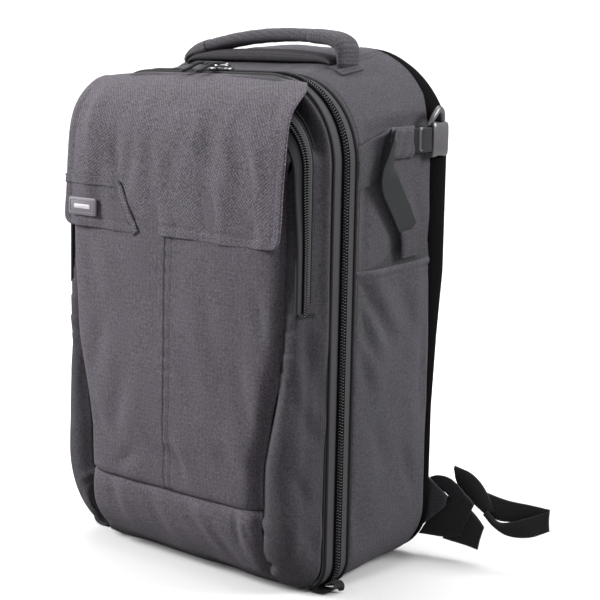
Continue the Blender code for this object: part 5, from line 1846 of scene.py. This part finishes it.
def make_tail(name, sign):
    """Free end of the compression webbing: out of the keeper, round a bend, to its folded end."""
    x = HALF_WIDTH
    points = [(x + 0.0112, -0.0010, 0.4440), (x + 0.0115, -0.0030, 0.4330),
              (x + 0.0118, -0.0060, 0.4190),
              (x + 0.0112, -0.0080, 0.4050), (x + 0.0100, -0.0030, 0.3920),
              (x + 0.0092, 0.0095, 0.3750),
              (x + 0.0088, 0.0195, 0.3610), (x + 0.0086, 0.0285, 0.3470)]
    across = [(-0.66, 0.74, 0.0), (-0.62, 0.76, 0.05), (-0.45, 0.85, 0.15), (-0.2, 0.95, 0.25),
              (0.0, 0.97, 0.30),
              (0.0, 0.90, 0.44), (0.0, 0.88, 0.46), (0.0, 0.88, 0.46)]
    flip = np.array((sign, 1, 1))
    made = webbing(f"tail_{name}", np.array(points) * flip, np.array(across) * flip, SKIN["tail"],
                   0.0275, 0.0015, 70, 14)
    finish(made, f"buckle_{name}", "black_webbing", f"compression_web_{name}")
    end = np.array([(x + 0.0098, 0.0330, 0.3480), (x + 0.0104, 0.0338, 0.3400),
                    (x + 0.0104, 0.0346, 0.3310),
                    (x + 0.0094, 0.0354, 0.3220)])
    across = (0.0, 1.0, 0.06)
    folded = webbing(f"tail_end_{name}", end * flip, np.array([across] * 4) * flip, SKIN["grip"],
                     0.0380, 0.0034,
                     30, 3)
    finish(folded, f"buckle_{name}", "black_webbing")
    way = unit(np.array(across))
    for offset in (-0.0165, 0.0165):
        line = curve_through(end * flip, 12) + way * offset + (sign * 0.0019, 0, 0)
        sew(line, (sign, 0, 0), f"buckle_{name}")
    for place in (2, 9):
        middle = curve_through(end * flip, 12)[place] + (sign * 0.0019, 0, 0)
        sew(np.array([middle - way * 0.0165, middle + way * 0.0165]), (sign, 0, 0),
            f"buckle_{name}")


# ---- lower harness ----
def make_lower_harness(name, sign):
    """Cloth wing at the foot, webbing up to the strap and the loose waist web lying at the corner."""
    flip = np.array((sign, 1, 1))
    corners = np.array([(0.128, 0.090, 0.104), (0.182, 0.0935, 0.068), (0.180, 0.0935, 0.056),
                        (0.126, 0.090, 0.008)])
    v, u = np.meshgrid(np.linspace(0, 1, 20), np.linspace(0, 1, 22), indexing="ij")
    u, v = u[..., None], v[..., None]
    grid = (corners[0] * (1 - u) + corners[1] * u) * (1 - v) + (corners[3] * (1 - u) + corners[2]
                                                                * u) * v
    grid[..., 1] += 0.0028 + 0.0022 * np.sin(np.pi * u[..., 0]) * np.sin(np.pi * v[..., 0])
    grid *= flip
    finish(cloth(f"foot_wing_{name}", grid, SKIN["oxford"], 0.0022), "root", "oxford_fabric",
           f"harness_wing_{name}")
    for row in (2, 17):
        sew_grid(grid, "root", row=row)
    points = [(0.146, 0.0950, 0.070), (0.134, 0.1020, 0.092), (0.120, 0.1090, 0.116),
              (0.104, 0.1140, 0.142),
              (0.094, 0.1163, 0.160), (0.089, 0.1168, 0.1740)]
    made = webbing(f"strap_web_{name}", np.array(points) * flip,
                   np.array([(1, 0, 0.55), (1, 0, 0.5), (1, 0, 0.4), (1, 0, 0.25), (1, 0, 0.1),
                                                  (1, 0, 0.0)]) * flip, SKIN["webbing"], 0.0245,
                   0.0015, 60)
    finish_blend(made, ("root", f"strap_{name}"), (0, 0.0970, 0.080), (0, 0.1160, 0.158),
                 "black_webbing",
                 f"lower_web_{name}")
    fall = [(0.0870, 0.1215, 0.1800), (0.0860, 0.1245, 0.1640), (0.0840, 0.1235, 0.1300),
            (0.0830, 0.1205, 0.0950),
            (0.0850, 0.1190, 0.0700)]
    end = webbing(f"adjuster_end_{name}", np.array(fall) * flip, [(1, 0, 0)] * 5, SKIN["webbing"],
                  0.0245, 0.0015, 50)
    finish(end, f"strap_{name}", "black_webbing")
    make_waist_web(name, flip)


def make_waist_web(name, flip):
    """Loose webbing at the foot wing; each run is given by its upper and lower edge."""
    runs = {
        "loop": ([(0.158, 0.0985, 0.083), (0.168, 0.0990, 0.0865), (0.180, 0.1000, 0.086),
                  (0.190, 0.1010, 0.081),
                  (0.200, 0.1025, 0.072)],
                 [(0.162, 0.0985, 0.068), (0.170, 0.0990, 0.072), (0.177, 0.1000, 0.070),
                  (0.183, 0.1010, 0.065),
                  (0.189, 0.1025, 0.058)]),
        "fold": ([(0.172, 0.1020, 0.061), (0.184, 0.1030, 0.069), (0.194, 0.1040, 0.072),
                  (0.202, 0.1050, 0.069),
                  (0.209, 0.1060, 0.062)],
                 [(0.145, 0.0985, 0.020), (0.160, 0.1010, 0.0205), (0.172, 0.1030, 0.021),
                  (0.184, 0.1050, 0.023),
                  (0.194, 0.1060, 0.026)]),
        "drop": ([(0.196, 0.1080, 0.058), (0.204, 0.1090, 0.054), (0.212, 0.1100, 0.047),
                  (0.219, 0.1110, 0.039)],
                 [(0.170, 0.1070, 0.018), (0.184, 0.1080, 0.017), (0.198, 0.1095, 0.016),
                  (0.212, 0.1110, 0.014)]),
        "leaf": ([(0.1755, 0.1160, 0.0945), (0.193, 0.1180, 0.091), (0.205, 0.1200, 0.083),
                  (0.214, 0.1220, 0.071),
                  (0.222, 0.1240, 0.054)],
                 [(0.1765, 0.1160, 0.0915), (0.179, 0.1150, 0.081), (0.186, 0.1150, 0.071),
                  (0.198, 0.1170, 0.061),
                  (0.213, 0.1210, 0.050)]),
        "long": ([(0.205, 0.1240, 0.073), (0.222, 0.1270, 0.069), (0.238, 0.1290, 0.067),
                  (0.260, 0.1310, 0.067),
                  (0.2850, 0.1300, 0.0675)],
                 [(0.212, 0.1230, 0.050), (0.226, 0.1260, 0.045), (0.242, 0.1290, 0.046),
                  (0.262, 0.1310, 0.048),
                  (0.2850, 0.1300, 0.0470)]),
        "turn": ([(0.217, 0.1190, 0.054), (0.232, 0.1180, 0.0455), (0.248, 0.1195, 0.0490),
                  (0.264, 0.1220, 0.0560),
                  (0.2860, 0.1280, 0.0665)],
                 [(0.213, 0.1180, 0.050), (0.228, 0.1160, 0.0405), (0.245, 0.1170, 0.0345),
                  (0.268, 0.1200, 0.0370),
                  (0.2865, 0.1280, 0.0460)]),
    }
    v = np.linspace(0, 1, 14)[None, :, None]
    for word, edges in runs.items():
        upper, lower = (curve_through(edge, 48)[:, None] for edge in edges)
        grid = upper * (1 - v) + lower * v
        grid[..., 1] -= 0.0012 * np.sin(np.pi * v[..., 0])
        made = cloth(f"waist_web_{name}_{word}", grid * flip, SKIN["webbing"], 0.0015)
        finish(made, "root", "black_webbing", *((f"waist_web_{name}",) if word == "long" else ()))


# ---- inside of the lid ----
def make_lid_inside():
    """Lined lid panel with two zipped mesh pockets, and the cloth hinge along the floor."""
    low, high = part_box("lid_panel")
    line = outline(HALF_WIDTH - 0.0030, 0.004, ZIP_TOP - 0.0030, ZIP_TOP_RADIUS, FOOT_RADIUS)
    line = even(np.vstack([(0.0, 0.004), line, (0.0, 0.004)]), 301)[:-1]
    centre = np.array((0.0, 0.24))
    rings = []
    for grow, y in ((0.02, low.y), (0.5, low.y), (0.97, low.y), (1.0, low.y + 0.0012),
                    (1.0, high.y - 0.0016),
                    (0.988, high.y - 0.0003), (0.93, high.y), (0.75, high.y), (0.5, high.y),
                    (0.25, high.y), (0.02, high.y)):
        ring = centre + (line - centre) * grow
        rings.append(np.stack([ring[:, 0], np.full(len(ring), y), ring[:, 1]], axis=1))
    panel = cloth("lid_lining", np.array(rings), SKIN["velour"], 0.0, closed=True)
    face_out(panel.data, fill_ends=True)
    finish(panel, "lid", "divider_velour", "lid_panel")
    for part in ("upper", "lower"):
        low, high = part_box(f"lid_mesh_pocket_{part}")
        v, u = np.meshgrid(np.linspace(0, 1, 44), np.linspace(0, 1, 70), indexing="ij")
        x = low.x + (high.x - low.x) * u
        z = low.z + (high.z - low.z) * v
        rim = np.minimum(np.minimum(u, 1 - u) * (high.x - low.x),
                         np.minimum(v, 1 - v) * (high.z - low.z))
        y = low.y + 0.0006 + 0.0045 * ease(rim / 0.035) + 0.0005 * ripple(x, z, 0.05, 111)
        grid = np.stack([x, y, z], axis=2)
        away = np.array((0.0, -0.5, 0.25))
        finish(cloth(f"mesh_pocket_{part}", grid, SKIN["mesh"], 0.0009, centre=away), "lid",
               "air_mesh",
               f"lid_mesh_pocket_{part}")
        rim_path = np.array([(px, low.y + 0.0016, pz)
                             for px, pz in rounded_path(low.x, high.x, low.z, high.z, 0.010, 8)])
        rim_path = even(np.vstack([rim_path, rim_path[:1]]), 161)[:-1]
        _, side, up = frames_along(rim_path, (0, 1, 0), closed=True)
        finish(loft(f"mesh_pocket_{part}_binding", rim_path, side, up,
                    round_profile(0.0046, 0.0014, 12),
                    SKIN["binding"], closed=True), "lid", "black_webbing")
        zip_z = high.z - 0.024
        chain = np.array([(px, high.y + 0.0042, zip_z)
                          for px in np.linspace(low.x + 0.008, high.x - 0.008, 80)])
        teeth = stamped(f"mesh_pocket_{part}_coil", SMALL_TOOTH, chain,
                        np.tile((0.0, 0.0, 1.0), (80, 1)),
                        np.tile((1.0, 0.0, 0.0), (80, 1)), np.tile((0.0, 1.0, 0.0), (80, 1)),
                        SKIN["coil"])
        finish(teeth, "lid", "nylon_coil")
        _, side, up = frames_along(chain, (0, 1, 0))
        finish(loft(f"mesh_pocket_{part}_tape", chain - (0, 0.0012, 0), side, up,
                    web_profile(0.020, 0.0009, 1, 0.0),
                    SKIN["tape"]), "lid", "zip_tape")
    low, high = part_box("lid_hinge_strip")
    x = np.linspace(low.x, high.x, 60)
    y = np.linspace(-0.0755, SHELL_FRONT + 0.006, 26)
    grid = np.array([[(a, b, 0.0042 + 0.0008 * math.cos(a * 110)) for a in x] for b in y])
    made = cloth("floor_hinge", grid, SKIN["lining"], 0.0012, centre=np.array((0.0, -0.05, -0.2)))
    finish_blend(made, ("root", "lid"), (0, -0.0500, 0.004), (0, -0.0700, 0.004), "oxford_fabric",
                 "lid_hinge_strip")


# ---- studio ----
def area(name, place, target, size, power, colour=(1, 1, 1), height=None):
    light = bpy.data.lights.new(name, "AREA")
    light.shape = "RECTANGLE"
    light.size = size
    light.size_y = height or size
    light.energy = power
    light.color = colour
    made = bpy.data.objects.new(name, light)
    bpy.context.scene.collection.objects.link(made)
    made.location = place
    made.rotation_euler = (Vector(target) - Vector(place)).to_track_quat("-Z", "Y").to_euler()


def make_studio():
    """Pale floor that sweeps up behind, white surroundings and four soft lights."""
    sweep = [(0.0, y, 0.0) for y in np.linspace(-3.0, 2.2, 12)]
    sweep += [(0.0, 2.2 + 1.4 * math.sin(t), 1.4 - 1.4 * math.cos(t))
              for t in np.linspace(0.1, math.pi / 2, 14)]
    sweep += [(0.0, 3.6, z) for z in (2.0, 3.0, 4.0)]
    turn = math.radians(VIEW_AZIMUTH)
    c, s = math.cos(turn), math.sin(turn)
    grid = np.array([[(x * c - y * s, x * s + y * c, z - 0.0003)
                      for x in np.linspace(-4.5, 4.5, 12)] for _, y, z in sweep])
    floor = cloth("studio_floor", grid, floor_paint(), 0.0, centre=np.array((0.0, 0.0, -5.0)))
    world = bpy.data.worlds.new("studio")
    world.use_nodes = True
    tree = world.node_tree
    seen = tree.nodes.new("ShaderNodeLightPath").outputs["Is Camera Ray"]
    level = tree.nodes.new("ShaderNodeMath")
    level.operation = "MULTIPLY_ADD"
    level.inputs[1].default_value = 1.0 - WORLD_LIGHT
    level.inputs[2].default_value = WORLD_LIGHT
    tree.links.new(seen, level.inputs[0])
    tree.links.new(level.outputs[0], tree.nodes["Background"].inputs["Strength"])
    tree.nodes["Background"].inputs["Color"].default_value = (1.0, 1.0, 1.0, 1.0)
    bpy.context.scene.world = world
    target = (0.0, -0.03, 0.27)
    area("key", (-1.90, -1.75, 1.50), target, 1.1, KEY_LIGHT)
    area("top", (0.25, 0.25, 2.3), target, 1.5, TOP_LIGHT)
    area("side", (2.10, 1.20, 1.50), target, 1.1, SIDE_LIGHT)
    area("backdrop", (-1.2, 1.4, 2.6), (-1.9, 2.6, 0.6), 2.4, BACKDROP_LIGHT)
    bpy.context.scene.view_settings.view_transform = "Standard"


def make_camera():
    azimuth, elevation, roll = (math.radians(a) for a in (VIEW_AZIMUTH, VIEW_ELEVATION, VIEW_ROLL))
    back = Vector((math.sin(azimuth) * math.cos(elevation),
                   -math.cos(azimuth) * math.cos(elevation), math.sin(elevation)))
    right = Vector((0, 0, 1)).cross(back).normalized()
    up = back.cross(right)
    turned = (right * math.cos(roll) + up * math.sin(roll),
              up * math.cos(roll) - right * math.sin(roll), back)
    data = bpy.data.cameras.new("camera")
    data.lens = LENS
    data.sensor_width = SENSOR
    camera = bpy.data.objects.new("camera", data)
    bpy.context.scene.collection.objects.link(camera)
    matrix = Matrix(turned).transposed().to_4x4()
    matrix.translation = VIEW_TARGET + back * VIEW_DISTANCE
    camera.matrix_world = matrix
    bpy.context.scene.camera = camera


def build():
    make_dividers()
    make_straps()
    make_back()
    wing = make_wings()
    make_centre()
    make_band(wing)
    flap = make_flap()
    make_flap_insert(flap)
    make_badge(flap)
    make_main_zip()
    make_zip_ends()
    make_slider("left", math.radians(-26))
    make_slider("right", math.radians(-14))
    make_pocket_zip()
    make_pocket_slider()
    make_shell()
    make_liner()
    make_handle()
    for name, sign in (("left", -1), ("right", 1)):
        make_side_pocket(name, sign)
        make_compression_wing(name, sign)
        make_buckle(name, sign)
        make_tail(name, sign)
        make_lower_harness(name, sign)
    make_lid_inside()
    make_stitching()
    make_studio()
    make_camera()


build()
